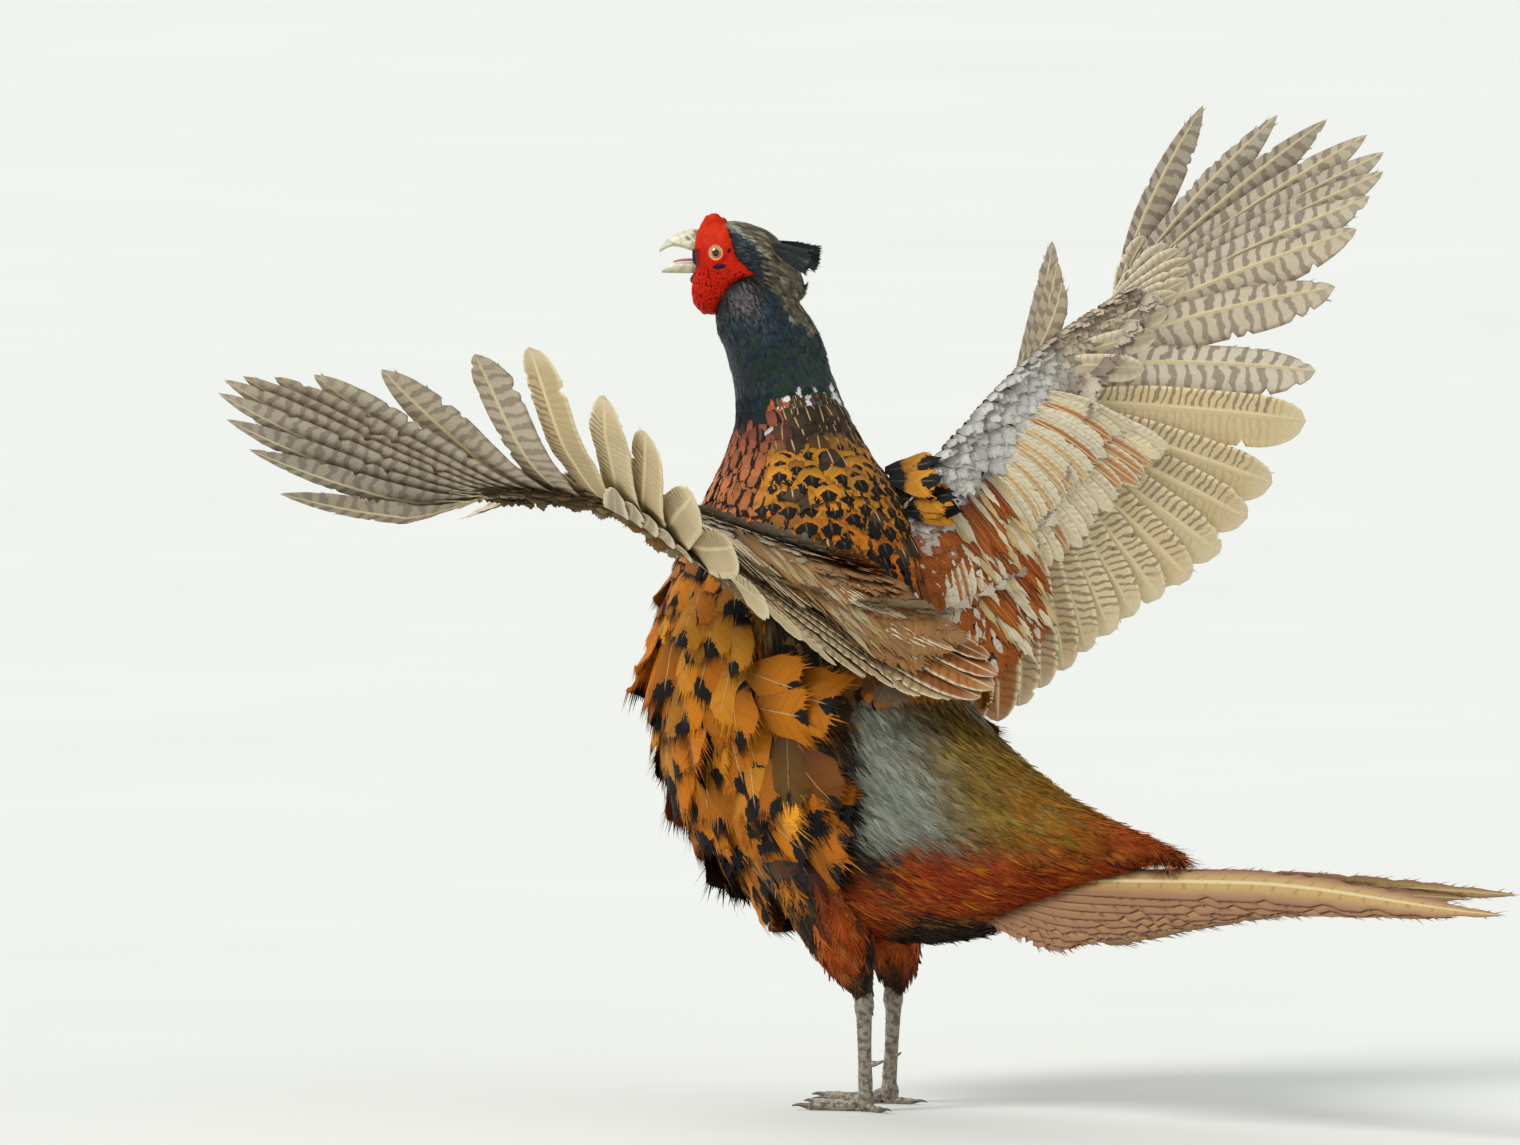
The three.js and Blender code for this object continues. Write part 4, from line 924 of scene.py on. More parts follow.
def marked_material(name, group, fourth_sign, numbers, relief, depth, **principled):
    """Plumage: a group of marks paints the feather from its map, colours and signs and from numbers that are
    the same all over, and its barbs are a bump. The fourth sign goes to the input of that name."""
    made, tree, shader = new_material(name, **principled)
    vane = add(tree, "ShaderNodeUVMap", uv_map="vane")
    ground, mark, signs = (
        add(tree, "ShaderNodeAttribute", attribute_name=key) for key in ("ground", "mark", "signs")
    )
    inputs = {
        "Vane": vane.outputs["UV"],
        "Ground": ground.outputs["Color"],
        "Mark": mark.outputs["Color"],
        "Signs": signs.outputs["Color"],
        fourth_sign: signs.outputs["Alpha"],
        **numbers,
    }
    marks = add(tree, "ShaderNodeGroup", inputs, node_tree=group)
    dress(tree, shader, marks.outputs["Color"], marks.outputs["Height"], relief, depth)
    return made


def plumage_material(name, barbs, spot_from, shaft_width, **principled):
    """Contour feathers, by the number of their barbs, where the dark tip starts, and the shaft's width."""
    numbers = {"Barbs": barbs, "Spot From": spot_from, "Shaft Width": shaft_width}
    return marked_material(name, feather_marks, "Drop", numbers, 0.6, 0.0003, **principled)


def body_frame(ring, angle, sink=0.0):
    """Place, way along the coat and outward direction on the body."""
    here = body_point(ring, angle, sink)
    flow = unit(body_point(ring + 0.05, angle, sink) - body_point(ring - 0.05, angle, sink))
    around = unit(body_point(ring, angle + 0.02, sink) - body_point(ring, angle - 0.02, sink))
    return here, flow, unit(np.cross(flow, around))


def body_rows(first, last, gap):
    """Feather roots in staggered rows round the body, about gap(ring) apart each way."""
    rings, angles, ring, odd = [], [], first, 0.0
    while ring < last:
        step = gap(ring)
        around = body_point(ring, np.linspace(0, 2 * np.pi, 25))
        number = int(np.linalg.norm(np.diff(around, axis=0), axis=-1).sum() / step)
        angle = (np.arange(number) + odd) * 2 * np.pi / number
        rings.append(np.full(number, ring) + rng.normal(size=number) * 0.012)
        angles.append(angle + rng.normal(size=number) * 0.8 / number)
        side = body_point(np.array([ring, ring + 0.1]), np.pi / 2)
        ring += 0.1 * 0.8 * step / np.linalg.norm(side[1] - side[0])
        odd = 0.5 - odd
    return np.concatenate(rings), np.concatenate(angles)


def body_field(ring, angle, length, width, lift, build, turn=0.0, droop=0.0, barbs=0, **shape):
    """A field of feathers on the body. Roots sit on the skin, tips rise by the lift, and each feather is
    turned about its root at random by the turn."""
    here, flow, out = body_frame(ring, angle, coat_depth(ring))
    number = len(ring)
    spin = np.clip(rng.normal(size=number), -1.6, 1.6) * turn
    axis = flow * np.cos(spin)[:, None] + np.cross(out, flow) * np.sin(spin)[:, None]
    axis = unit(axis + np.array([0, 0, -1.0]) * droop)
    axis = axis - out * (axis * out).sum(-1, keepdims=True)
    rise = lift * (1 + 0.25 * np.clip(rng.normal(size=number), -1.5, 1.2))
    axis = unit(unit(axis) + out * rise[:, None])
    size = 1 + 0.10 * rng.normal(size=number)
    if build == "barbs":
        fray = shape.pop("fray")
        made = barbed_feathers(
            here, axis, out, length * size, width * size, barbs, fray, rise * 0.75, **shape
        )
    else:
        made = sheet_feathers(here, axis, out, length * size, width * size, *build, bend=rise * 0.6, **shape)
    ground, mark, signs = plumage(here, ring, angle % (2 * np.pi), rng.random(number))
    ground = ground * (1 + 0.13 * rng.normal(size=(number, 1))) * (1 + 0.03 * rng.normal(size=(number, 3)))
    return (*made, np.clip(ground, 0, 1), mark, np.clip(signs, 0, 1), body_unwrap(ring, angle))


def zone_of(ring, angle):
    """Sideways place m and height of feather roots, for parting the tracts."""
    here = body_point(ring, angle)
    return here[..., 0] - np.abs(here[..., 1]), here[..., 2]


def nearest_on_body(m, z, side):
    """Ring and angle of the place on one side of the trunk with a given sideways place m and height."""
    rings, angles = np.meshgrid(np.linspace(6, 13, 120), np.linspace(0.6, 2.8, 90), indexing="ij")
    at_m, at_z = zone_of(rings, side * angles)
    best = ((at_m - m) ** 2 + (at_z - z) ** 2).argmin()
    return rings.ravel()[best], side * angles.ravel()[best]


neck_gloss = plumage_material(
    "glossy_neck_plumage", 20.0, 0.9, 0.09, roughness=0.38, specular_ior_level=0.4, coat_weight=0.08,
    coat_roughness=0.3,
)
plain_plumage = plumage_material("body_plumage", 34.0, 0.56, 0.1, roughness=0.7, specular_ior_level=0.22)
flank_plumage = plumage_material("flank_plumage", 110.0, 0.72, 0.035, roughness=0.68, specular_ior_level=0.22)

ring, angle = body_rows(0.5, 3.95, lambda k: 2.5 + 0.3 * k)
size = 7.0 + 1.0 * ring
field = body_field(ring, angle, size, size * 0.22, 0.16, "barbs", turn=0.12, barbs=6, fray=0.35, sweep=0.4)
feather_piece("neck_feathers", [field], neck_gloss, "glossy_plumage")

ring, angle = body_rows(3.3, 7.7, lambda k: 4.4 + 1.15 * (k - 3.4))
number = len(ring)
angle = angle + rng.normal(size=number) * 0.025
on_mantle = np.cos(angle) > 0.35
size = (11.5 + 3.0 * (ring - 3.4)) * np.where(ring < 3.75, 0.6, 1.0)
field = body_field(
    ring, angle, size, size * np.where(
        on_mantle, 0.40, 0.33
    ), 0.24, (7, 7), turn=0.14, hairs=7, hair=0.08, tip=0.10,
    uneven=0.03,
)
field[6][:, 1] *= np.where(rng.random(number) < 0.88, rng.uniform(0.85, 1.2, number), 0.3)
count = 18
ring, angle = rng.uniform(5.6, 6.6, count), rng.uniform(0.4, 1.0, count)
here, _, out = body_frame(ring, angle, 1.0)
way = unit(np.array([0.66, 0.72, 0.0]) + 0.12 * rng.normal(size=(count, 3)))
size = rng.uniform(24.0, 32.0, count)
facing = out * 0.2 + np.array([0.6, -0.6, 0.6])
made = sheet_feathers(here, way, facing, size, size * 0.32, 8, 7, hairs=8, hair=0.06, tip=0.16, bend=-0.1)
tone = colour("bd8648") * rng.uniform(0.85, 1.15, (count, 1))
cape = (*made, tone, colour("0e0a08"), [0.06, 0.9, 0.15, 0.0], body_unwrap(ring, angle))
feather_piece("breast_and_mantle_feathers", [field, cape], plain_plumage, "body_plumage")

ring, angle = body_rows(7.4, 9.6, lambda k: 9.0)
on_back = np.cos(angle) > 0.5
ring, angle = ring[on_back], angle[on_back]
field = body_field(ring, angle, 24.0, 8.5, 0.2, (9, 7), turn=0.12, hairs=8, hair=0.08, tip=0.2, uneven=0.03)
feather_piece("back_feathers", [field], plain_plumage, "body_plumage")

ring, angle = body_rows(6.3, 12.6, lambda k: 23.0)
ring = np.concatenate([ring, ring + 0.16])
angle = np.concatenate([angle, angle + 0.15])
m, z = zone_of(ring, angle)
on_flank = (m < np.interp(z, [120, 214], [-90, -72])) & (np.cos(angle) < 0.45) & ~((m > -116) & (z > 236))
ring, angle = ring[on_flank], angle[on_flank]
number = len(ring)
size = np.interp(ring, [6.3, 8.0, 10.5, 12.6], [30.0, 46.0, 52.0, 40.0])
lift = 0.27 - 0.12 * ease(-np.cos(angle), 0.1, 0.7)
field = body_field(
    ring, angle, size, size * 0.38, lift, (14, 11), turn=0.30, sweep=0.2, close=0.2, tip=0.04, hairs=44,
    hair=0.12, cup=0.45, twist=0.45, droop=0.15, uneven=0.02,
)
field[6][:, 1] *= np.where(rng.random(number) > 0.15, rng.uniform(0.8, 1.3, number), 0.0)
field[4][:] *= rng.uniform(0.7, 1.22, (number, 1))
fans = np.array([[-112, 256, 42], [-90, 246, 46], [-104, 236, 40]], float)
at = [nearest_on_body(m, z, side) for side in (-1, 1) for m, z, _ in fans]
ring, angle = np.array(at).T
here, flow, out = body_frame(ring, angle, 2.0)
lean = rng.uniform(0.75, 1.25, len(ring)) * np.sign(np.sin(angle))
axis = flow * np.cos(lean)[:, None] - np.cross(out, flow) * np.sin(lean)[:, None]
size = np.tile(fans[:, 2], 2)
made = sheet_feathers(
    here, unit(axis + out * 0.25), out, size, size * 0.42, 14, 11, sweep=0.2, close=0.1, tip=-0.02, hairs=44,
    hair=0.13, bend=0.1, cup=0.3, twist=0.3,
)
tone = colour("b57438") * rng.uniform(0.8, 1.1, (len(ring), 1))
fan_field = (*made, tone, colour("100b09"), [0, 0.4, 0.8, 0], body_unwrap(ring, angle))
feather_piece("flank_feathers", [field, fan_field], flank_plumage, "body_plumage")

ring, angle = body_rows(7.4, 16.7, lambda k: 5.3)
m, z = zone_of(ring, angle)
on_rump = (m > -84) & (z > 60) & (z < 246)
in_armpit = (m > -104) & (z > 232) & (z < 334) & (np.cos(angle) < 0.6)
for name, side in (("left", -1), ("right", 1)):
    here = (on_rump | in_armpit) & (np.where(np.sin(angle) < 0, -1, 1) == side)
    field = body_field(
        ring[here], angle[here], 23.0, 2.3, 0.17, "barbs", turn=0.13, barbs=7, fray=0.9, sweep=0.7, cup=0.1
    )
    feather_piece(f"rump_feathers_{name}", [field], plain_plumage, "rump_plumage")


# The quills of both wings: ten primaries on each hand, twelve secondaries and four tertials on the arm, the
# greater coverts over their bases and three thumb feathers. Each is a horny shaft rooted in the flesh, with
# a narrow vane ahead and a broad one behind, and lies on its neighbour.
PRIMARY_TIPS = np.array(
    [
        [258, 72], [299, 39], [331, 19], [350, 8], [366, 1], [374, -8], [373, -22], [360, -43], [339, -62],
        [308, -92]
    ], float
)
SECONDARY_TIPS = np.array(
    [
        [235, 92], [198, 110], [175, 118], [151, 125], [129, 127], [109, 126],
        [91, 125], [74, 126], [57, 126], [40, 127], [23, 127], [7, 128],
    ],
    float,
)
TERTIAL_TIPS = np.array([[-8, 128], [-21, 120], [-33, 106], [-44, 86]], float)
VANE_STATIONS = 52
VANE_COLUMNS = np.array([-1.0, -0.82, -0.5, -0.2, 0.0, 0.0, 0.0, 0.25, 0.55, 0.85, 1.0])
SHAFT_COLUMNS = np.array([0.0, 0, 0, 0, -1, 0, 1, 0, 0, 0, 0])


def between(a, b, share):
    """The place a share of the way from a to b, for an array of shares."""
    a, b = np.asarray(a, float), np.asarray(b, float)
    return a + (b - a) * np.asarray(share, float)[..., None]


def flight_feathers(place, lead, up, leading, trailing, point, length, tilt=0.2, sweep=0.13, thick=0.5,
                    splits=0.12, stray=6, stray_length=3.0, stations=VANE_STATIONS):
    """Closed two-sided feathers. Lines of the grid leave the shaft at even places and run out and forward to
    the rim as barbs do, so that a notch in the rim opens between two lines. The half width grows along the
    feather as a sine to its widest place and closes in an arc, round where point is 0 and long where it
    is 1. The shaft stands up as a ridge on both sides. Loose barbs, each a narrow wedge, leave the rims."""
    count, columns = len(length), len(VANE_COLUMNS)
    leading, trailing, point = (per_feather(values, count) for values in (leading, trailing, point))
    v = np.linspace(0, 1, stations) ** 0.92
    q = np.abs(VANE_COLUMNS)
    along = v[:, None] + sweep * q**1.2 * (1 - v[:, None]) * ease(v[:, None], -0.1, 0.3)
    along = np.broadcast_to(along, (count, stations, columns)).copy()
    notch = rng.random((count, stations, 2)) < splits * ease(v, 0.25, 0.5)[None, :, None]
    depth = np.where(notch, rng.uniform(0.05, 0.3, (count, stations, 2)), 0)
    shift = rng.normal(size=(count, stations, 2)) * 0.0022
    outer = ease(q, 0.4, 1.0)
    behind = (VANE_COLUMNS < 0) * 1
    along += shift[:, :, behind] * outer * (v[:, None] < 0.985)
    inset = 1 - depth[:, :, behind] * outer
    along = np.clip(along, 0, 1)
    taper_from = 0.80 - 0.28 * point[:, None, None]
    climb = 0.16 + 0.84 * np.sin(np.pi / 2 * np.clip(along / 0.5, 0, 1)) ** 0.8
    closing = np.clip((along - taper_from) / (1 - taper_from), 0, 1)
    profile = climb * (1 - closing**2.2) ** (0.5 + 0.4 * point[:, None, None])
    wide = np.where(VANE_COLUMNS > 0, leading[:, None, None], trailing[:, None, None])
    shaft = (1.0 - 0.75 * along) * np.clip(length / 240, 0.45, 1.1)[:, None, None]
    aside = VANE_COLUMNS * wide * profile * inset + SHAFT_COLUMNS * shaft
    at = place(along)
    ahead = unit(place(np.clip(along + 0.02, 0, 1)) - place(np.clip(along - 0.02, 0, 1)))
    normal = up(along)
    normal = unit(normal - ahead * (normal * ahead).sum(-1, keepdims=True))
    side = lead(along)
    side = unit(
        side - ahead * (side * ahead).sum(-1, keepdims=True) - normal * (side * normal).sum(-1, keepdims=True)
    )
    side = unit(side + normal * np.tan(tilt))
    cup = -0.035 * aside**2 / np.maximum(wide, 1) * (VANE_COLUMNS < 0) * 2
    ripple = 0.25 * np.sin(along * 60 + rng.uniform(0, 6, (count, 1, 1))) * q * (1 - 0.5 * along)
    middle = at + side * aside[..., None] + normal * (cup + ripple)[..., None]
    ridge = (SHAFT_COLUMNS == 0) & (VANE_COLUMNS == 0)
    half = thick / 2 * (1 - 0.5 * q) * (1 - 0.4 * along) + ridge * shaft * 0.8
    half = half * (0.3 + 0.7 * (v < 0.999))[:, None]
    top = middle + normal * half[..., None]
    bottom = middle - normal * half[..., None]
    points = np.stack([top, bottom], 1).reshape(count, -1, 3)
    grid = stations * columns
    i, j = np.meshgrid(np.arange(stations - 1), np.arange(columns - 1), indexing="ij")
    a = (i * columns + j).ravel()
    upper = np.stack([a, a + columns, a + columns + 1, a + 1], -1)
    lower = upper[:, ::-1] + grid
    rows = np.arange(stations - 1) * columns
    last = rows + columns - 1
    near = np.stack([rows, rows + grid, rows + columns + grid, rows + columns], -1)
    far = np.stack([last, last + columns, last + columns + grid, last + grid], -1)
    line = np.arange(columns - 1)
    foot = np.stack([line, line + 1, line + 1 + grid, line + grid], -1)
    end = (stations - 1) * columns + line
    head = np.stack([end, end + grid, end + grid + 1, end + 1], -1)
    rim = np.concatenate([near, far, foot, head])
    faces = np.concatenate([upper, lower, rim])
    is_rim = np.zeros(len(faces), bool)
    is_rim[-len(rim):] = True
    flipped = (np.cross(ahead, side) * normal).sum(-1).mean() > 0
    if not flipped:
        faces = faces[:, ::-1]
    vane = np.stack([0.5 + 0.5 * VANE_COLUMNS + 0 * along, along], -1)
    vane = np.stack([vane, vane], 1).reshape(count, -1, 2)

    picked = rng.integers(stations // 6, stations - 2, (count, 2 * stray))
    column = np.where(np.arange(2 * stray) % 2, 0, columns - 1)
    each = np.arange(count)[:, None]
    foot = middle[each, picked, column]
    foot_after = middle[each, picked + 1, column]
    outwards = side[each, picked, column] * np.where(column > 0, 1.0, -1.0)[:, None]
    lean = rng.uniform(0.1, 0.5, (count, 2 * stray, 1))
    reach = stray_length * rng.uniform(0.3, 1.3, (count, 2 * stray, 1))
    end = foot_after + (ahead[each, picked, column] * np.cos(lean) + outwards * np.sin(lean)) * reach
    foot = foot_after + (foot - foot_after) * np.minimum(
        1, 1.0 / np.linalg.norm(foot - foot_after, axis=-1)
    )[..., None]
    slim = thick * 0.3 * normal[each, picked, column]
    hairs = np.stack([foot, foot_after - outwards * 0.3, end, foot_after + slim], 2).reshape(count, -1, 3)
    k = points.shape[1] + 4 * np.arange(2 * stray)[:, None]
    wedge = np.array([[0, 1, 2], [0, 2, 3], [0, 3, 1], [1, 3, 2]])
    hair_faces = (k[:, None] + wedge).reshape(-1, 3)
    hair_vane = np.repeat(vane[each, picked * columns + column], 4, axis=1)
    points = np.concatenate([points, hairs], 1)
    vane = np.concatenate([vane, hair_vane], 1)
    start = (np.arange(count) * points.shape[1])[:, None, None]
    faces = (start + faces).reshape(-1, 4)
    hair_faces = (start + hair_faces).reshape(-1, 3)
    return points, faces, hair_faces, np.tile(is_rim, count), vane, grid


def flight_piece(name, fields, material, slot, *replaced):
    """One mesh of flight feathers. On the baking map each feather has a strip of its own, upper side and
    underside side by side, and the rim takes the upper side's."""
    total = sum(len(field[0][0]) for field in fields)
    points, faces, corner_vane, corner_bake, start, number = [], [], [], [], 0, 0
    tints = {"ground": [], "mark": [], "signs": []}
    for (p, f, loose, is_rim, uv, grid), ground, mark, signs in fields:
        count, each = p.shape[:2]
        strip = (number + np.arange(count))[:, None] / total
        across = (0.04 + 0.92 * uv[..., 0]) * 0.5 / total
        under = ((np.arange(each) >= grid) & (np.arange(each) < 2 * grid)) * 0.5 / total
        bake = np.stack([strip + under + across, 0.01 + 0.98 * uv[..., 1]], -1).reshape(-1, 2)
        index = f.copy()
        index[is_rim] -= np.where(index[is_rim] % each >= grid, grid, 0)
        points.append(p.reshape(-1, 3))
        for group, at in ((f, index), (loose, loose)):
            corner_bake.append(bake[at.ravel()])
            faces.append(group + start)
            corner_vane.append(uv.reshape(-1, 2)[group.ravel()])
        for key, values in (("ground", ground), ("mark", mark), ("signs", signs)):
            tints[key].append(np.repeat(values, each, 0))
        start += count * each
        number += count
    mesh = new_mesh(
        name,
        np.concatenate(points),
        faces,
        {"OFBake": np.concatenate(corner_bake), "vane": np.concatenate(corner_vane)},
        {key: np.concatenate(values) for key, values in tints.items()},
    )
    return new_piece(name, mesh, material, slot, *replaced)


def wing_vanes(wing, root, tip, above, leading, trailing, point, curve=0.0, **shape):
    """Feathers laid from roots to tips on a wing's plan. They climb by the height above the plan in their
    first half, and may curve towards the leading edge in the middle."""
    step = tip - root
    above = np.broadcast_to(above, (len(root), 2))
    length = np.linalg.norm(step, axis=-1)
    forward = np.stack([step[:, 1], -step[:, 0]], -1) / length[:, None]

    def plan(v):
        """Places on the plan, at shares of the way from root to tip."""
        bow = (curve * 4 * v * (1 - v))[..., None] * forward[:, None, None]
        return root[:, None, None] + step[:, None, None] * v[..., None] + bow

    def place(v):
        """The same places in space, at their height above the plan."""
        at = plan(v)
        height = above[:, 0, None, None] + (above[:, 1] - above[:, 0])[:, None, None] * np.minimum(1, v * 2.2)
        return wing_point(wing, at[..., 0], at[..., 1], height)

    def lead(v):
        """The way across the feather to its leading edge."""
        at = plan(v)
        on = at + forward[:, None, None] * 2.0
        return wing_point(wing, on[..., 0], on[..., 1], 0) - wing_point(wing, at[..., 0], at[..., 1], 0)

    def up(v):
        """The way up from the wing's surface."""
        at = plan(v)
        return wing_up(wing, at[..., 0], at[..., 1])

    return flight_feathers(place, lead, up, leading, trailing, point, length, **shape), length


flight_marks, source, result = new_group(
    "flight_marks",
    {
        "Vane": PLACE, "Ground": TINT, "Mark": TINT, "Signs": TINT, "Length": NUMBER, "Spacing": NUMBER,
        "Bar Share": NUMBER, "Raggedness": NUMBER, "Offset": NUMBER, "Edge Tint": TINT, "Edge From": NUMBER,
        "Lead Bars": NUMBER, "Trail Bars": NUMBER, "Middle Gap": NUMBER, "Bar Reach": NUMBER,
    },
    {"Color": TINT, "Height": NUMBER},
)
tree = flight_marks
place = add(tree, "ShaderNodeSeparateXYZ", {0: source.outputs["Vane"]})
signed = math(tree, "MULTIPLY_ADD", place.outputs["X"], 2.0, -1.0)
across = math(tree, "ABSOLUTE", signed)
along = place.outputs["Y"]
distance = math(tree, "MULTIPLY", math(tree, "MULTIPLY", along, source.outputs["Length"]), 500.0)
coordinates = add(tree, "ShaderNodeTexCoord")
kinds = add(tree, "ShaderNodeSeparateColor", {0: source.outputs["Signs"]})
coarse = add(
    tree, "ShaderNodeTexNoise", {"Vector": coordinates.outputs["Object"], "Scale": 120.0, "Detail": 3.0}
)
ragged = math(tree, "MULTIPLY", math(tree, "SUBTRACT", coarse.outputs[0], 0.5), source.outputs["Raggedness"])
side = math(tree, "MULTIPLY", math(tree, "GREATER_THAN", signed, 0.0), source.outputs["Offset"])
barred = math(
    tree, "DIVIDE", math(tree, "ADD", distance, math(tree, "MULTIPLY", across, -3.0)),
    source.outputs["Spacing"]
)
barred = math(tree, "ADD", math(tree, "ADD", barred, side), ragged)
wave = math(tree, "MULTIPLY_ADD", math(tree, "SINE", math(tree, "MULTIPLY", barred, 6.283)), 0.5, 0.5)
bar_from = math(tree, "SUBTRACT", 1.0, source.outputs["Bar Share"])
bar = slope(tree, wave, bar_from, math(tree, "ADD", bar_from, 0.25))
leading = math(tree, "GREATER_THAN", signed, 0.0)
strength = math(tree, "SUBTRACT", source.outputs["Lead Bars"], source.outputs["Trail Bars"])
strength = math(tree, "MULTIPLY_ADD", strength, leading, source.outputs["Trail Bars"])
bar = math(tree, "MULTIPLY", bar, math(tree, "MULTIPLY", kinds.outputs["Red"], strength))
gap_end = math(tree, "ADD", source.outputs["Middle Gap"], 0.1)
bar = math(tree, "MULTIPLY", bar, slope(tree, across, source.outputs["Middle Gap"], gap_end))
reach_end = math(tree, "ADD", source.outputs["Bar Reach"], 0.15)
bar = math(
    tree, "MULTIPLY", bar,
    math(tree, "SUBTRACT", 1.0, slope(tree, across, source.outputs["Bar Reach"], reach_end))
)
at_tip = math(tree, "MULTIPLY", slope(tree, along, 0.84, 0.93), kinds.outputs["Green"])
bar = math(tree, "MULTIPLY", bar, math(tree, "SUBTRACT", 1.0, at_tip))
fleck = add(
    tree, "ShaderNodeTexNoise", {"Vector": coordinates.outputs["Object"], "Scale": 700.0, "Detail": 2.0}
)
bar = math(tree, "MULTIPLY", bar, math(tree, "MULTIPLY_ADD", fleck.outputs[0], 0.9, 0.5), clamp=True)
painted = mix(
    tree, slope(tree, across, source.outputs["Edge From"], 1.0), source.outputs["Ground"],
    source.outputs["Edge Tint"]
)
painted = mix(tree, bar, painted, source.outputs["Mark"])
pale = math(tree, "MULTIPLY", slope(tree, along, 0.9, 1.0), kinds.outputs["Green"])
painted = mix(tree, math(tree, "MULTIPLY", pale, 0.55), painted, rgba("e6dcc4"))
shaft = math(
    tree, "MULTIPLY", math(tree, "SUBTRACT", 1.0, slope(tree, across, 0.04, 0.1)), kinds.outputs["Blue"]
)
painted = mix(tree, shaft, painted, rgba("e2d2ac"))
barb_line = math(tree, "SUBTRACT", distance, math(tree, "MULTIPLY", across, 14.0))
barb_wave = math(tree, "SINE", math(tree, "MULTIPLY", barb_line, 5.2))
shade = math(
    tree, "ADD", math(tree, "MULTIPLY_ADD", barb_wave, 0.06, 0.82),
    math(tree, "MULTIPLY", fleck.outputs[0], 0.3)
)
painted = mix(tree, 1.0, painted, gray(tree, shade), "MULTIPLY")
tree.links.new(painted, result.inputs["Color"])
tree.links.new(math(tree, "MULTIPLY_ADD", barb_wave, 0.5, 0.5), result.inputs["Height"])


def flight_material(name, numbers, edge, **principled):
    """Flight feathers: bars across the vanes by distance along them, an edge tint, pale shaft and tip."""
    numbers = {**numbers, "Edge Tint": rgba(edge)}
    return marked_material(name, flight_marks, "Length", numbers, 0.5, 0.0002, **principled)


def painted_feathers(number, grounds, mark, signs, length, spread=0.06):
    """Ground and mark colours and signs for a number of feathers, each ground one of those given, a little
    lighter or darker."""
    light = 1 + spread * rng.normal(size=(number, 1))
    ground = np.array([colour(text) for text in grounds])[rng.integers(0, len(grounds), number)]
    signs = np.concatenate([np.tile(signs, (number, 1)), (length / 500)[:, None]], 1)
    return np.clip(ground * light, 0, 1), np.tile(colour(mark), (number, 1)), signs


primary_material = flight_material(
    "primaries",
    {"Spacing": 9.0, "Bar Share": 0.5, "Raggedness": 1.2, "Offset": 0.5, "Edge From": 0.8, "Lead Bars": 0.9,
     "Trail Bars": 0.8, "Middle Gap": 0.0, "Bar Reach": 1.2},
    "b3a591", roughness=0.6, specular_ior_level=0.3,
)
secondary_material = flight_material(
    "secondaries",
    {"Spacing": 4.6, "Bar Share": 0.42, "Raggedness": 1.5, "Offset": 0.5, "Edge From": 0.72,
     "Lead Bars": 0.85, "Trail Bars": 0.22, "Middle Gap": 0.08, "Bar Reach": 1.2},
    "ecdcb8", roughness=0.6, specular_ior_level=0.3,
)
covert_material = flight_material(
    "greater_coverts",
    {"Spacing": 4.4, "Bar Share": 0.4, "Raggedness": 2.2, "Offset": 0.5, "Edge From": 0.35, "Lead Bars": 0.3,
     "Trail Bars": 0.15, "Middle Gap": 0.2, "Bar Reach": 1.2},
    "eee2c8", roughness=0.62, specular_ior_level=0.3,
)

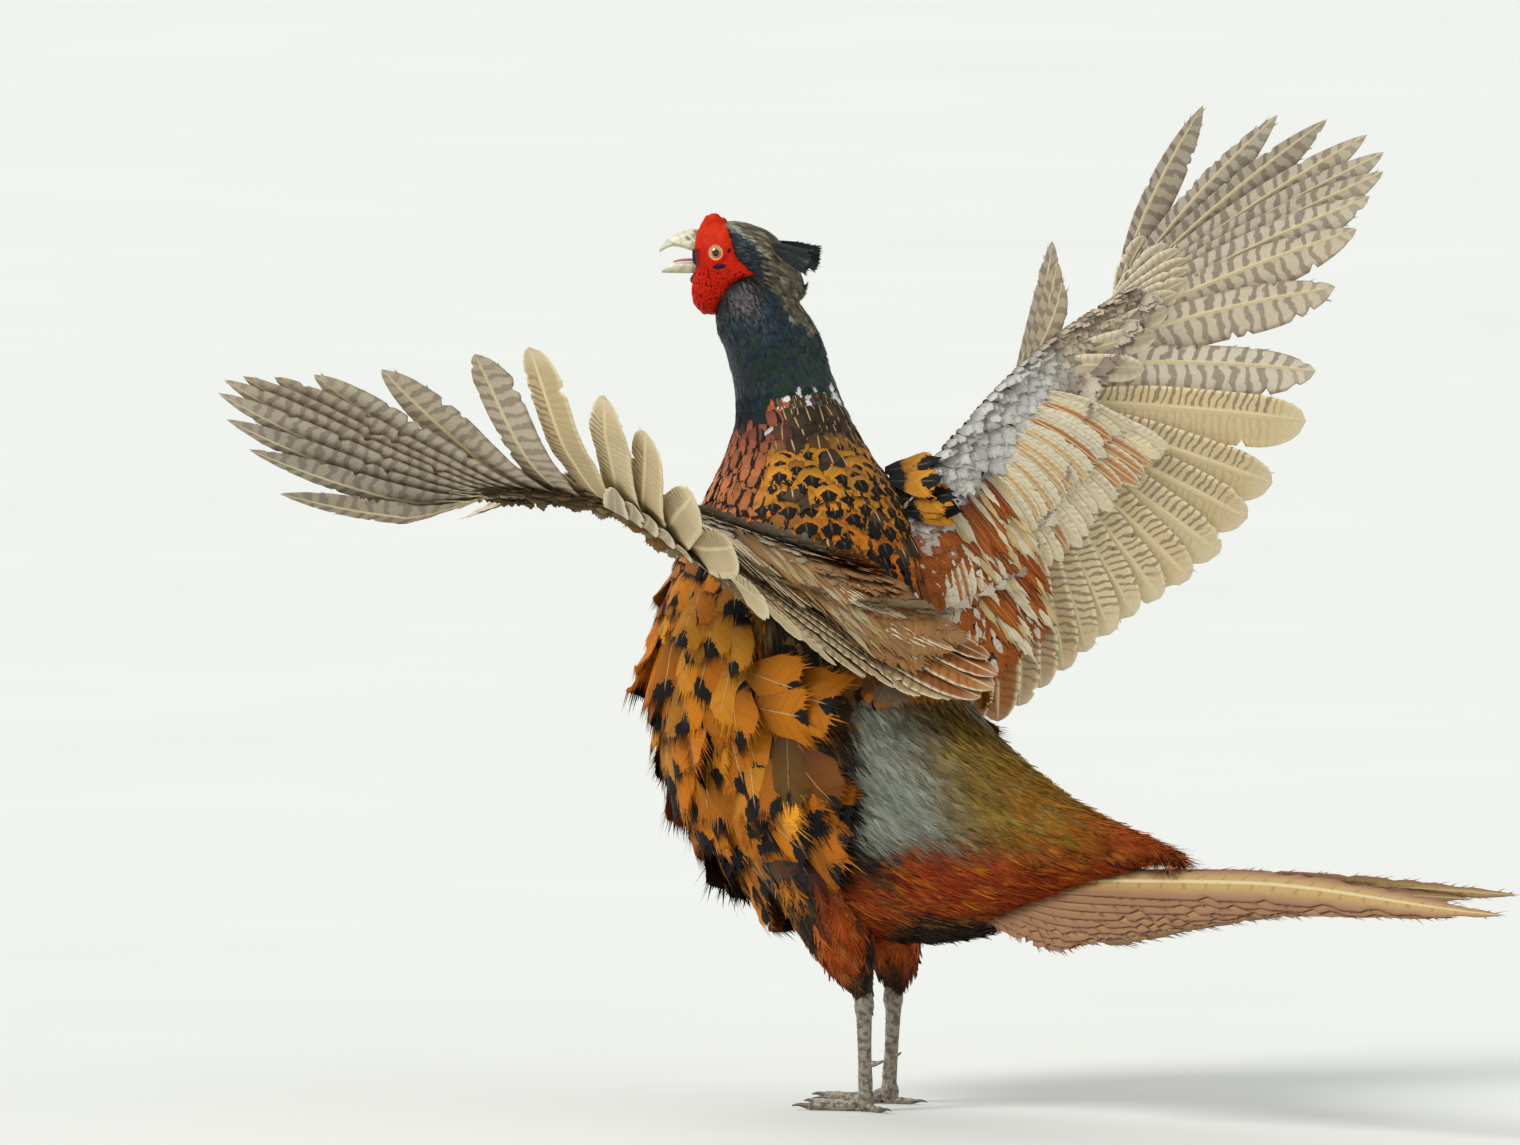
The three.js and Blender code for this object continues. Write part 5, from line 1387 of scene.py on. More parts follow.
for name, wing in WINGS.items():
    order = np.arange(len(PRIMARY_TIPS))
    hand_tip = PRIMARY_TIPS.copy()
    hand_tip[:, 1] = np.where(hand_tip[:, 1] < 0, hand_tip[:, 1] * wing["splay"], hand_tip[:, 1])
    hand_root = between([126, -22], [188, -27], (order + 0.6) / len(order))
    set_in = np.stack([-0.3 * order, -1.4 * order], -1)
    slim = order / (len(order) - 1)
    primaries, length = wing_vanes(
        wing, hand_root, hand_tip, set_in, 10 - 4 * slim, 19 - 5 * slim, 0.35 + 0.5 * slim, curve=5.0,
        splits=0.12,
    )
    marks = painted_feathers(len(order), ["d6ccb9", "cec2ad"], "84766a", [0.85, 0.3, 0.8], length)
    marks[0][7:] = marks[0][7:] * 0.72
    marks[1][7:] = marks[1][7:] * 0.8
    # The primaries of the near, left wing are darker than the right wing's: painted shade.
    if name == "left":
        marks[0][:] = marks[0] * 0.82
    fields = [(primaries, *marks)]
    flight_piece(f"primaries_{name}", fields, primary_material, "wing_feathers", f"hand_{name}")

    count = len(SECONDARY_TIPS)
    root = between([114, -9], [65, 26], np.arange(count) / (count - 1))
    secondaries, length = wing_vanes(
        wing, root, SECONDARY_TIPS, (0, 0), 12.0, 19.0, 0.0, curve=3.0, splits=0.06
    )
    marks = painted_feathers(count, ["dac9a8", "d1be9b"], "7a6a58", [0.9, 0.9, 0.9], length)
    marks[0][8:] = mixed(marks[0][8:], np.array([0.2, 0.35, 0.5, 0.6]), colour("a57f62"))
    # The secondaries of the near, left wing are darker and browner than the right wing's: painted shade.
    if name == "left":
        marks[0][:] = mixed(marks[0], 0.35, colour("9a8666"))
    arm = [(secondaries, *marks)]
    root = between([44, 30], [-22, 30], np.arange(4) / 3)
    tertials, length = wing_vanes(wing, root, TERTIAL_TIPS, (0, 0), 14.0, 17.0, 0.2, curve=2.0, splits=0.06)
    arm.append((tertials, *painted_feathers(4, ["a5714c", "96603f"], "4d3122", [0.5, 0.5, 0.8], length)))
    flight_piece(f"secondaries_{name}", arm, secondary_material, "wing_feathers", f"wing_{name}")

    tip = between(hand_root, hand_tip, np.full(len(order), 0.36))
    covers, length = wing_vanes(wing, hand_root, tip, set_in + [2, 5], 7.0, 9.0, 0.3, curve=1.0, stations=24)
    marks = painted_feathers(len(order), ["c5b89f", "b5a68e"], "6f6152", [0.8, 0.3, 0.6], length)
    fields = [(covers, *marks)]
    for number, high, reach, half, tints in (
        (27, 4.0, 1.0, 6.5, ["e0d4ba", "d6c8a8", "dccfb4", "b98c66"]),
        (30, 6.5, 0.66, 5.2, ["e6dec8", "dcd0b4", "e0d8c2", "ac7650", "ceb088"]),
    ):
        share = (np.arange(number) + 0.5) / number
        root = between([122, -8 - 8 * (1 - reach)], [6, 24 - 12 * (1 - reach)], share)
        far = between([162, 56], [-20, 92], share)
        tip = root + (far - root) * (reach * (1 + 0.04 * rng.normal(size=number)))[:, None]
        covers, length = wing_vanes(
            wing, root, tip, (high, high + 3.0), half * 0.8, half, 0.3, curve=1.5, stations=24
        )
        fields.append((covers, *painted_feathers(number, tints, "7a4a2e", [0.8, 0.5, 0.7], length, 0.1)))
    number = 18
    share = (np.arange(number) + 0.5) / number
    root = between([122, -8], [6, 24], share)
    tip = between([162, 56], [-20, 86], share)
    covers, length = wing_vanes(wing, root, tip, (-4.0, -6.0), 8.0, 9.0, 0.2, tilt=0.1, stations=24)
    fields.append(
        (covers, *painted_feathers(number, ["c9bfac", "bdb19c"], "8c7c6c", [0.6, 0.4, 0.4], length))
    )
    # The coverts of the near, left wing are darker and browner than the right wing's: painted shade.
    if name == "left":
        for field in fields:
            field[1][:] = mixed(field[1], 0.45, colour("8d7856"))
    flight_piece(f"greater_coverts_{name}", fields, covert_material, "wing_feathers")

    order = np.arange(3)
    root = np.array([113.0, -31.0]) + order[:, None] * [3, 1]
    tip = between([113, -31], [178, -80], 1 - 0.17 * order) + order[:, None] * [6, 3]
    height = np.stack([0 * order, 1.5 - 0.4 * order], -1)
    thumb, length = wing_vanes(wing, root, tip, height, 6.0, 8.0, 0.7, curve=-3.0)
    fields = [(thumb, *painted_feathers(3, ["cdc1ab", "c2b49b"], "7a6c5c", [0.7, 0.4, 0.8], length))]
    flight_piece(f"thumb_feathers_{name}", fields, primary_material, "wing_feathers", f"alula_{name}")


# The small feathers that clothe the arm and hand of each wing, above and below: grey and white along the
# leading edge, cream with rusty marks behind it, and rusty with white spots near the body. The spotted
# scapulars are rooted over the shoulder, with long narrow streaked feathers among them.
def core_frame(wing, ring, angle):
    """Place on a wing's flesh, the way back, the way out along the wing, and square to the flesh."""
    here = core_point(wing, ring, angle)
    back = core_point(wing, ring, angle + 0.03) - core_point(wing, ring, angle - 0.03)
    back = unit(back * np.sign(np.sin(angle))[:, None])
    out = unit(core_point(wing, ring + 0.03, angle) - core_point(wing, ring - 0.03, angle))
    normal = unit(np.cross(out, back))
    across = 0 * angle + np.pi / 2
    outward = here - core_point(wing, ring, across) / 2 - core_point(wing, ring, -across) / 2
    normal = normal * np.sign((normal * outward).sum(-1, keepdims=True))
    return here, back, out, normal


def covert_colours(number, share_back, ring, dorsal, speckle):
    """Small wing feathers: pale grey in front, cream and rusty behind, rusty with white drops towards the
    body, and brown on the hand."""
    shape = (number, 3)
    other = rng.random(number)
    ground = np.broadcast_to(colour("c6c4be"), shape).copy()
    ground = mixed(ground, speckle > 0.7, colour("d3d1c9"))
    ground = mixed(ground, speckle < 0.12, colour("b1aea8"))
    behind = ease(share_back + 0.3 * (speckle - 0.5), 0.5, 0.7)
    cream = mixed(np.broadcast_to(colour("ddd2b8"), shape), other > 0.7, colour("ac7650"))
    ground = mixed(ground, behind, cream)
    inner = 1 - ease(ring + 0.8 * (speckle - 0.5), 0.5 + 1.2 * share_back, 1.2 + 1.6 * share_back)
    ground = mixed(ground, inner, colour("a15c38"))
    hand = mixed(np.broadcast_to(colour("c6b9a3"), shape), other > 0.6, colour("988a7a"))
    ground = mixed(ground, ease(ring, 4.4, 5.6), hand)
    under = mixed(np.broadcast_to(colour("c4baa8"), shape), speckle > 0.6, colour("93867a"))
    ground = np.where(dorsal[:, None], ground, under)
    signs = np.zeros((number, 4))
    signs[:, 2] = 0.25
    signs = mixed(signs, inner * dorsal * (speckle > 0.5), np.array([0.0, 0.0, 0.1, 0.6]))
    return ground, np.tile(colour("2b1c14"), (number, 1)), signs


for name, wing in WINGS.items():
    rings, angles = [], []
    for turn_at in np.radians([12, 30, 46, 62, 78, 94, 110, 126, 142, 156]):
        for top in (1, -1):
            ring = np.arange(0.2, 7.9, 0.11 if top > 0 else 0.16)
            rings.append(ring + rng.uniform(-0.04, 0.04, len(ring)))
            angles.append(top * (turn_at + rng.normal(size=len(ring)) * 0.06))
    ring, angle = np.concatenate(rings), np.concatenate(angles)
    number = len(ring)
    here, back, out, normal = core_frame(wing, ring, angle)
    share_back = (1 - np.cos(angle)) / 2
    size = 11 + 11 * share_back
    size = size * np.interp(ring, [0, 3, 7.9], [1.35, 1.0, 0.65]) * (1 + 0.1 * rng.normal(size=number))
    spin = 0.35 + 0.14 * rng.normal(size=number)
    axis = back * np.cos(spin)[:, None] + out * np.sin(spin)[:, None]
    rise = 0.09 * (1 + 0.3 * rng.normal(size=number))
    made = sheet_feathers(
        here - normal * 1.2, unit(axis + normal * rise[:, None]), normal, size, size * 0.32, 7, 7, tip=0.24,
        hairs=10, hair=0.06, bend=rise * 0.5, cup=0.1, uneven=0.01,
    )
    tints = covert_colours(number, share_back, ring, angle > 0, rng.random(number))
    ground = np.clip(tints[0] * (1 + 0.05 * rng.normal(size=(number, 1))), 0, 1)
    fields = [(*made, ground, *tints[1:], unwrap((angle / (2 * np.pi)) % 1, ring / 8, 0.94, 0.03))]

    out_at, back_at = np.meshgrid(np.arange(-30, 58, 8.5), np.arange(14, 84, 9.0), indexing="ij")
    out_at = out_at + np.where(np.arange(back_at.shape[1]) % 2, 4.0, 0.0)
    inner = (out_at < 62 - 0.25 * back_at) & (back_at < 62 + 0.4 * (out_at + 30))
    out_at, back_at = out_at[inner], back_at[inner]
    number = len(out_at)
    out_at = out_at + rng.normal(size=number) * 1.5
    here = wing_point(wing, out_at, back_at, np.interp(back_at, [14, 40, 84], [11, 9, 5]))
    normal = wing_up(wing, out_at, back_at)
    way = wing_point(
        wing, out_at - 1.5 + rng.normal(size=number), back_at + 10, 0
    ) - wing_point(wing, out_at, back_at, 0)
    size = np.interp(back_at, [14, 84], [19, 30]) * (1 + 0.1 * rng.normal(size=number))
    made = sheet_feathers(
        here, unit(unit(way) + normal * 0.12), normal, size, size * 0.36, 9, 7, tip=0.14, hairs=10, hair=0.10,
        bend=0.12, uneven=0.02,
    )
    ground = np.clip(colour("a2603a") * (1 + 0.1 * rng.normal(size=(number, 1))), 0, 1)
    signs = np.tile([0.05, 0.0, 0.12, 0.0], (number, 1))
    drops = rng.uniform(0.35, 0.6, number) + 0.35 * ease(back_at, 30, 70)
    signs[:, 3] = np.where(rng.random(number) < 0.25, 0.0, drops)
    on_map = unwrap((out_at + 40) / 110, (back_at + 10) / 110, 0.94, 0.03)
    fields.append((*made, ground, colour("1c110c"), signs, on_map))

    out_at, back_at = np.meshgrid(np.arange(2, 70, 2.6), np.arange(10, 66, 11.0), indexing="ij")
    streaked = (out_at > 26 - 0.2 * back_at) & (out_at < 66 - 0.3 * back_at)
    out_at, back_at = out_at[streaked], back_at[streaked]
    number = len(out_at)
    out_at = out_at + rng.normal(size=number) * 0.8
    back_at = back_at + rng.normal(size=number) * 3.5
    here = wing_point(wing, out_at, back_at, np.interp(back_at, [14, 40, 84], [11, 9, 6]))
    normal = wing_up(wing, out_at, back_at)
    lean = 0.4 * rng.normal(size=number)
    way = wing_point(wing, out_at + 1.0 + lean, back_at + 10, 0) - wing_point(wing, out_at, back_at, 0)
    size = np.interp(back_at, [14, 84], [34, 40]) * (1 + 0.12 * rng.normal(size=number))
    made = sheet_feathers(
        here, unit(
            unit(way) + normal * 0.10
        ), normal, size, size * 0.07, 10, 7, tip=0.12, close=0.85, hairs=6,
        hair=0.02, bend=0.10, uneven=0.003, sweep=0.05,
    )
    streaks = np.array([colour("e2d8bd"), colour("d3bd92"), colour("a5603a"), colour("8a4a2e")])
    ground = streaks[
        rng.choice(4, number, p=[0.26, 0.22, 0.30, 0.22])
    ] * (1 + 0.08 * rng.normal(size=(number, 1)))
    signs = np.tile([0.0, 0.0, 0.5, 0.0], (number, 1))
    on_map = unwrap((out_at + 40) / 110, (back_at + 10) / 110, 0.94, 0.03)
    fields.append((*made, np.clip(ground, 0, 1), colour("1c110c"), signs, on_map))
    # The small feathers of the near, left wing are darker and browner than the right wing's, which is painted
    # shade, and their white drops are smaller.
    if name == "left":
        for field in fields:
            field[4][:] = mixed(field[4], 0.6, colour("988462"))
            field[6][:, 3] *= 0.4
    feather_piece(f"lesser_coverts_{name}", fields, plain_plumage, "wing_feathers")


# The tail: nine pairs of stiff barred feathers, rooted in the rump and laid as a folded roof, the middle
# pair longest, with the left half sagging below the right one towards the tip.
TAIL_ROOT = np.array([70.0, 0.0, 147.0])
TAIL_LENGTHS = np.array([440, 402, 356, 308, 264, 226, 190, 158, 128], float)
TAIL_ROOF = np.radians(58.0)
tail_bars = {
    "Spacing": 18.0, "Bar Share": 0.10, "Raggedness": 0.6, "Offset": 0.5, "Edge From": 0.16, "Lead Bars": 1.0,
    "Trail Bars": 1.0, "Middle Gap": 0.0, "Bar Reach": 0.36,
}
tail_material = flight_material("tail_feathers", tail_bars, "8f6c58", roughness=0.55, specular_ior_level=0.3)
tail_fields = []
for side, sag in ((-1, 11.0), (1, 0.0)):
    pairs = np.arange(len(TAIL_LENGTHS))
    slant = np.array([0, side * np.cos(TAIL_ROOF), -np.sin(TAIL_ROOF)])
    up = np.array([0, side * np.sin(TAIL_ROOF), np.cos(TAIL_ROOF)])

    def tail_place(v):
        """Back along the tail, down its slanting half by the feather's place in it, and up to the tip."""
        along = v * TAIL_LENGTHS[:, None, None]
        opened = ease(along, -10, 110)
        down = 8.5 + 3 * opened + pairs[:, None, None] * (4.6 * opened + 1.2 * (1 - ease(along, 0, 90)))
        rise = 16 * (1 - (1 - along / 440) ** 2) - 2 - sag * ease(along, 230, 440)
        back = np.stack([along, 0 * along, rise], -1)
        return TAIL_ROOT + back + slant * down[..., None] - up * (0.7 * pairs[:, None, None])[..., None]

    made = flight_feathers(
        tail_place,
        lambda v: np.broadcast_to(-slant, (*v.shape, 3)),
        lambda v: np.broadcast_to(up, (*v.shape, 3)),
        9.5 - 0.2 * pairs,
        13.5 - 0.4 * pairs,
        0.95,
        TAIL_LENGTHS,
        tilt=-0.2,
        sweep=0.09,
        splits=0.4,
        stray=44,
        stray_length=8.0,
    )
    marks = painted_feathers(len(pairs), ["b59a6e"], "2a1d18", [0.9, 0.0, 0.6], TAIL_LENGTHS)
    tail_fields.append((made, *marks))
flight_piece("tail_feathers", tail_fields, tail_material, "tail_feathers", "tail")


# The feathers of the head: very small, olive grey with pale streaks on crown and nape, dark blue green
# behind the face skin and on the throat, brown black on the cheek and black on the chin and round the bill.
WATTLE_OUTLINE = np.array(
    [
        [9, 19], [4.5, 21.5], [-1, 18.5], [-6, 12.5], [-9.5, 4], [-12.5, -3], [-19, -9],
        [-22, -12.5], [-15.5, -14.5], [-10.5, -17.5], [-6.5, -24], [-5, -31], [-0.5, -36],
        [9, -36.5], [15, -31], [16.5, -23], [15.5, -15], [13, -7], [14, 1], [13.5, 10],
    ],
    float,
)
WATTLE_MIDDLE = np.array([3.0, -9.0])
outline = read_rows(
    np.concatenate([WATTLE_OUTLINE[-2:], WATTLE_OUTLINE, WATTLE_OUTLINE[:2]]), np.linspace(2, 22, 400)
)
outline_turn = np.arctan2(*(outline - WATTLE_MIDDLE).T[::-1])
in_turn = np.argsort(outline_turn)
outline_turn = outline_turn[in_turn]
outline_reach = np.linalg.norm(outline - WATTLE_MIDDLE, axis=1)[in_turn]


def wattle_share(forward, up):
    """How far out a place lies in the face skin's outline: 0 at its middle and 1 on the outline."""
    turn = np.arctan2(up - WATTLE_MIDDLE[1], forward - WATTLE_MIDDLE[0])
    reach = np.interp(turn, outline_turn, outline_reach, period=2 * np.pi)
    return np.hypot(forward - WATTLE_MIDDLE[0], up - WATTLE_MIDDLE[1]) / reach


rows = np.linspace(0.35, 8.6, 30)
each_row = np.interp(rows, [0, 2, 4, 7, 9], [0.35, 0.8, 1.0, 0.8, 0.3])
ring = np.repeat(rows, (100 * each_row).astype(int))
angle = rng.uniform(0, 2 * np.pi, len(ring))
ring = ring + rng.uniform(-0.14, 0.14, len(ring))
here = head_surface(ring, angle, 0.9)
local = to_head(here)
keep = wattle_share(local[:, 0], local[:, 1]) > 0.97
keep &= ~((local[:, 0] > 13) & (np.abs(local[:, 1] - 0.5) < 11))
ring, angle, here, local = ring[keep], angle[keep], here[keep], local[keep]
flow = unit(head_surface(ring + 0.05, angle, 0.9) - head_surface(ring - 0.05, angle, 0.9))
around = head_surface(ring, angle + 0.02, 0.9) - head_surface(ring, angle - 0.02, 0.9)
out = unit(np.cross(around, flow))
out = out * np.sign((out * (here - head_surface(ring, angle + np.pi, 0.9))).sum(-1, keepdims=True))
number = len(ring)
size = np.interp(-local[:, 0], [-16, -8, 5, 30, 45], [2.2, 3.0, 4.6, 6.0, 7.5])
rise = 0.15 + 0.03 * rng.normal(size=number)
made = barbed_feathers(
    here - out * 0.3, unit(
        flow + out * rise[:, None] + np.array([0, 0, -0.1])
    ), out, size, size * 0.15, 6, 0.4,
    rise * 0.6, cup=0.15, sweep=0.6,
)
head_field = (*made, *head_colours(local, rng.random(number)), unwrap((angle / (2 * np.pi)) % 1, ring / 9))

chin_turn = rng.uniform(0, 2 * np.pi, 260)
chin_along = rng.uniform(-1, 1, 260)
chin_wide = np.sqrt(1 - chin_along**2)
local = np.stack(
    [
        12 + 7.3 * chin_along, -16.5 + 4.5 * chin_wide * np.cos(chin_turn),
        5.4 * chin_wide * np.sin(chin_turn)
    ], -1
)
here = head_point(*local.T)
out = unit(here - head_point(12, -16.5, 0))
backwards = head_point(-1, -0.5, 0) - head_point(0, 0, 0)
made = barbed_feathers(here - out * 0.5, unit(backwards + out * 0.2), out, 4.0, 1.2, 4, 0.6, 0.15, cup=0.15)
dark = colour("0c0d0f")
on_map = np.stack([0.05 + 0.9 * chin_turn / (2 * np.pi), 0.001 + 0.012 * (chin_along + 1) / 2], -1)
chin_field = (*made, dark, dark * 0.5, [0.1, 0, 0.0, 0], on_map)

local = to_head(skin_points)
on_throat = (local[:, 0] > -50) & (local[:, 0] < 6) & (local[:, 1] < -12) & (skin_points[:, 2] > 446)
on_throat &= (wattle_share(local[:, 0], local[:, 1]) > 0.96) | (np.abs(local[:, 2]) < 8)
here, out, local = skin_points[on_throat], skin_normals[on_throat], local[on_throat]
number = len(here)
here = here + rng.normal(size=(number, 3)) * 0.8
flow = unit(head_point(-0.6, -0.9, 0) - head_point(0, 0, 0) + 0.12 * rng.normal(size=(number, 3)))
flow = unit(flow - out * (flow * out).sum(-1, keepdims=True))
size = 6.5 * (1 + 0.1 * rng.normal(size=number))
made = barbed_feathers(here, unit(flow + out * 0.2), out, size, size * 0.2, 6, 0.4, 0.12, cup=0.15, sweep=0.5)
throat_field = (*made, *head_colours(local, rng.random(number)), body_unwrap(*nearest_ring(here)))
feather_piece("head_feathers", [head_field, chin_field, throat_field], neck_gloss, "crown_plumage")


# The ear tufts: a fan of sixteen narrow feathers rooted in the head behind each ear, black green and
# glossy, which points back and ends square.
for name, side in (("left", 1), ("right", -1)):
    number = 16
    share = (np.arange(number) + 0.5) / number
    root = head_point(-32 - 2 * share, 5.5 - 5.0 * share, side * (11.5 + rng.normal(size=number) * 0.6))
    tip = head_point(-54.5 + 1.5 * share, 0.5 - 11.0 * share, side * (17.5 + rng.normal(size=number) * 0.8))
    out = np.tile(unit(head_point(0, 0, side) - head_point(0, 0, 0)), (number, 1))
    size = np.linalg.norm(tip - root, axis=-1)
    made = sheet_feathers(
        root, unit(tip - root), out, size, 2.0, 10, 5, sweep=0.05, close=-0.1, tip=0.0, hairs=10, hair=0.06,
        bend=0.05, cup=0.1, twist=0.15,
    )
    tuft = np.clip(colour("0d1614") * (1 + 0.2 * rng.normal(size=(number, 1))), 0, 1)
    on_map = np.stack([0.1 + 0.8 * share, np.full(number, 0.5)], -1)
    field = (*made, tuft, colour("050708"), [0.15, 0, 0, 0], on_map)
    feather_piece(f"ear_tuft_{name}", [field], neck_gloss, "glossy_plumage", f"ear_tuft_{name}")


# The red face skin on both sides: smooth and velvety above, and below the eye a hanging lobe of close
# round papillae with black pits between them. It is thick swollen skin, with a rounded free rim.
def head_side(forward, up, grow=0.0):
    """Half width of the head, grown on all sides, at a place seen from the side."""
    stations = read_rows(HEAD_RINGS, np.linspace(0, 9, 200))[::-1]
    middle, high, wide = (np.interp(forward, stations[:, 0], stations[:, i]) for i in (1, 2, 3))
    return (wide + grow) * np.sqrt(np.clip(1 - ((up - middle) / (high + grow)) ** 2, 0, 1))


def papillae(forward, up, cell):
    """Domes about jittered seeds in a plane: 1 on a seed, falling to 0 between seeds, and the gap's depth."""
    low = np.floor(np.array([forward.min(), up.min()]) / cell) - 1
    high = np.ceil(np.array([forward.max(), up.max()]) / cell) + 1
    i, j = np.meshgrid(np.arange(low[0], high[0]), np.arange(low[1], high[1]), indexing="ij")
    seeds = (np.stack([i, j], -1).reshape(-1, 2) + rng.uniform(0.1, 0.9, (i.size, 2))) * cell
    places = np.stack([forward.ravel(), up.ravel()], -1)
    nearest = np.empty((len(places), 2))
    for start in range(0, len(places), 2000):
        away = np.linalg.norm(places[start : start + 2000, None] - seeds[None], axis=-1)
        nearest[start : start + 2000] = np.partition(away, 1, axis=1)[:, :2]
    nearest = nearest.reshape(*forward.shape, 2) / cell
    return np.clip(1 - nearest[..., 0] * 1.35, 0, 1), nearest[..., 0], nearest[..., 1] - nearest[..., 0]


def wattle_side(forward, up):
    """The outer surface of the face skin: the grown head, blended with the swollen lobe below."""
    skin_at = np.maximum(head_side(forward, up, 3.0), 5.5)
    inside = np.clip(1 - ((forward - 5.5) / 11.0) ** 2 - ((up + 24) / 13.5) ** 2, 0, 1)
    lobe = 9.2 + 6.6 * np.sqrt(inside)
    return np.logaddexp(skin_at * 1.6, lobe * 1.6) / 1.6


EYE_SIDE = 12.6
EYE_RADIUS = 5.6
wattle_material, tree, shader = new_material(
    "face_skin", roughness=0.55, subsurface_weight=0.1, subsurface_scale=0.0015, specular_ior_level=0.1
)
tint = add(tree, "ShaderNodeAttribute", attribute_name="ground").outputs["Color"]
blotch = math(tree, "MULTIPLY", slope(tree, noise(tree, 180.0, 2.0), 0.45, 0.7), 0.35)
dress(tree, shader, mix(tree, blotch, tint, rgba("8f120c")), noise(tree, 1600.0, 3.0))
for name, side in (("left", 1), ("right", -1)):
    turns, reaches = 240, 72
    turn = np.arange(turns) * 2 * np.pi / turns
    share = np.linspace(0, 1, reaches + 1)[1:] ** 0.9
    rim = np.interp(turn, outline_turn, outline_reach, period=2 * np.pi)
    rim = rim * (1 + 0.012 * np.sin(turn * 23 + side) + 0.01 * np.sin(turn * 41))
    forward = WATTLE_MIDDLE[0] + share[:, None] * rim * np.cos(turn)
    up = WATTLE_MIDDLE[1] + share[:, None] * rim * np.sin(turn)
    surface = wattle_side(forward, up)
    dome, near, gap = papillae(forward, up, 1.5)
    rough = 0.12 + 0.88 * ease(-up, 5.0, 13.0)
    fold = 0.25 * np.sin(0.9 * forward + 1.3 * np.sin(0.5 * up)) * (1 - rough)
    surface = surface + (0.75 * np.sqrt(dome) - 0.35) * rough * (1 - ease(share, 0.93, 1)[:, None]) + fold
    away = np.hypot(forward, up)
    surface += 0.45 * np.exp(-(((away - 5.4) / 0.9) ** 2))
    surface = surface + (EYE_SIDE + 3.4 - surface) * (1 - ease(away, 3.4, 4.6))
    thick = 3.4 + 2.6 * ease(-up, 12, 26)
    surface = surface - thick * (1 - np.sqrt(1 - np.clip(share, 0, 1) ** 7))[:, None]
    red = np.broadcast_to(colour("b23a18"), (*forward.shape, 3)).copy()
    red = mixed(red, ease(up, -2, 12), colour("bd441c"))
    pit = ease(near, 0.52, 0.66) * ease(rough, 0.4, 0.9) * (
        np.sin(forward * 3.1 + 2 * np.sin(up * 2.3)) > -0.75
    )
    red = mixed(red, pit, colour("1c0504"))
    patch = 1 - ease(np.hypot((forward + 2.3) / 4.6, (up + 8.2 + 0.12 * forward) / 1.7), 0.75, 1.1)
    red = mixed(red, patch, colour("15142c"))
    red = mixed(red, 1 - ease(np.hypot((forward + 8.0) / 1.1, (up - 1.4) / 1.5), 0.7, 1.2), colour("2b0d10"))
    lore = ease(forward, 8.5, 11.5) * ease(-up, -3.5, -0.5) * (1 - ease(-up, 7, 11))
    lore = lore * (np.sin(forward * 4.1 + up * 2.7) + np.sin(up * 3.3 - forward * 1.7) > -0.6)
    red = mixed(red, lore, colour("110b0a"))
    outer = head_point(forward, up, side * surface)
    back = head_point(forward[-1], up[-1], side * (surface[-1] - 0.8))
    middle_outer = head_point(WATTLE_MIDDLE[0], WATTLE_MIDDLE[1], side * float(wattle_side(*WATTLE_MIDDLE)))
    middle_inner = head_point(WATTLE_MIDDLE[0], WATTLE_MIDDLE[1], side * 6.0)
    points = np.concatenate([outer.reshape(-1, 3), back, [middle_outer, middle_inner]])
    i, j = np.meshgrid(np.arange(reaches), np.arange(turns), indexing="ij")
    after = (j + 1) % turns
    quads = np.stack([i * turns + j, (i + 1) * turns + j, (i + 1) * turns + after, i * turns + after], -1)
    k = np.arange(turns)
    centre, inner = len(points) - 2, len(points) - 1
    fans = [
        np.stack([np.full(turns, centre), k, (k + 1) % turns], -1),
        np.stack([np.full(turns, inner), reaches * turns + (k + 1) % turns, reaches * turns + k], -1),
    ]
    faces = [quads.reshape(-1, 4), *fans]
    if side < 0:
        faces = [f[:, ::-1] for f in faces]
    tones = np.concatenate([red.reshape(-1, 3), red[-1], [colour("b23a18")] * 2])
    on_side = np.stack([forward, up], -1)
    flat = np.concatenate([on_side.reshape(-1, 2), on_side[-1], [WATTLE_MIDDLE] * 2])
    bake = {"OFBake": (flat - flat.min(0)) / (flat.max(0) - flat.min(0))}
    wattle = new_mesh(f"wattle_{name}", points, faces, bake, {"ground": tones})
    new_piece(f"wattle_{name}", wattle, wattle_material, "face_skin", f"wattle_{name}")


# The eyes: a wet ball with a small bulge over a pale orange iris and a dark pupil, and round it a bare
# lid in fine folds, cream inside and red outside.
eye_material, tree, shader = new_material(
    "eye", roughness=0.12, coat_weight=1.0, coat_roughness=0.02, specular_ior_level=0.5
)
place = add(tree, "ShaderNodeUVMap", uv_map="eye")
parts = add(tree, "ShaderNodeSeparateXYZ", {0: place.outputs["UV"]})
radius = parts.outputs["Y"]
spokes = add(tree, "ShaderNodeTexNoise", {"Vector": place.outputs["UV"], "Scale": 60.0, "Detail": 2.0})
spokes.noise_dimensions = "2D"
radius = math(tree, "ADD", radius, math(tree, "MULTIPLY_ADD", spokes.outputs[0], 0.02, -0.01))
iris = mix(tree, slope(tree, radius, 0.34, 0.44), rgba("5c2f14"), rgba("c98a4e"))
iris = mix(tree, slope(tree, radius, 0.5, 0.58), iris, rgba("e0b483"))
iris = mix(tree, math(tree, "MULTIPLY", slope(tree, spokes.outputs[0], 0.5, 0.65), 0.4), iris, rgba("8a4f27"))
iris = mix(tree, slope(tree, radius, 0.585, 0.61), iris, rgba("1a0d09"))
iris = mix(tree, math(tree, "SUBTRACT", 1.0, slope(tree, radius, 0.32, 0.34)), iris, rgba("050303"))
tree.links.new(iris, shader.inputs["Base Color"])
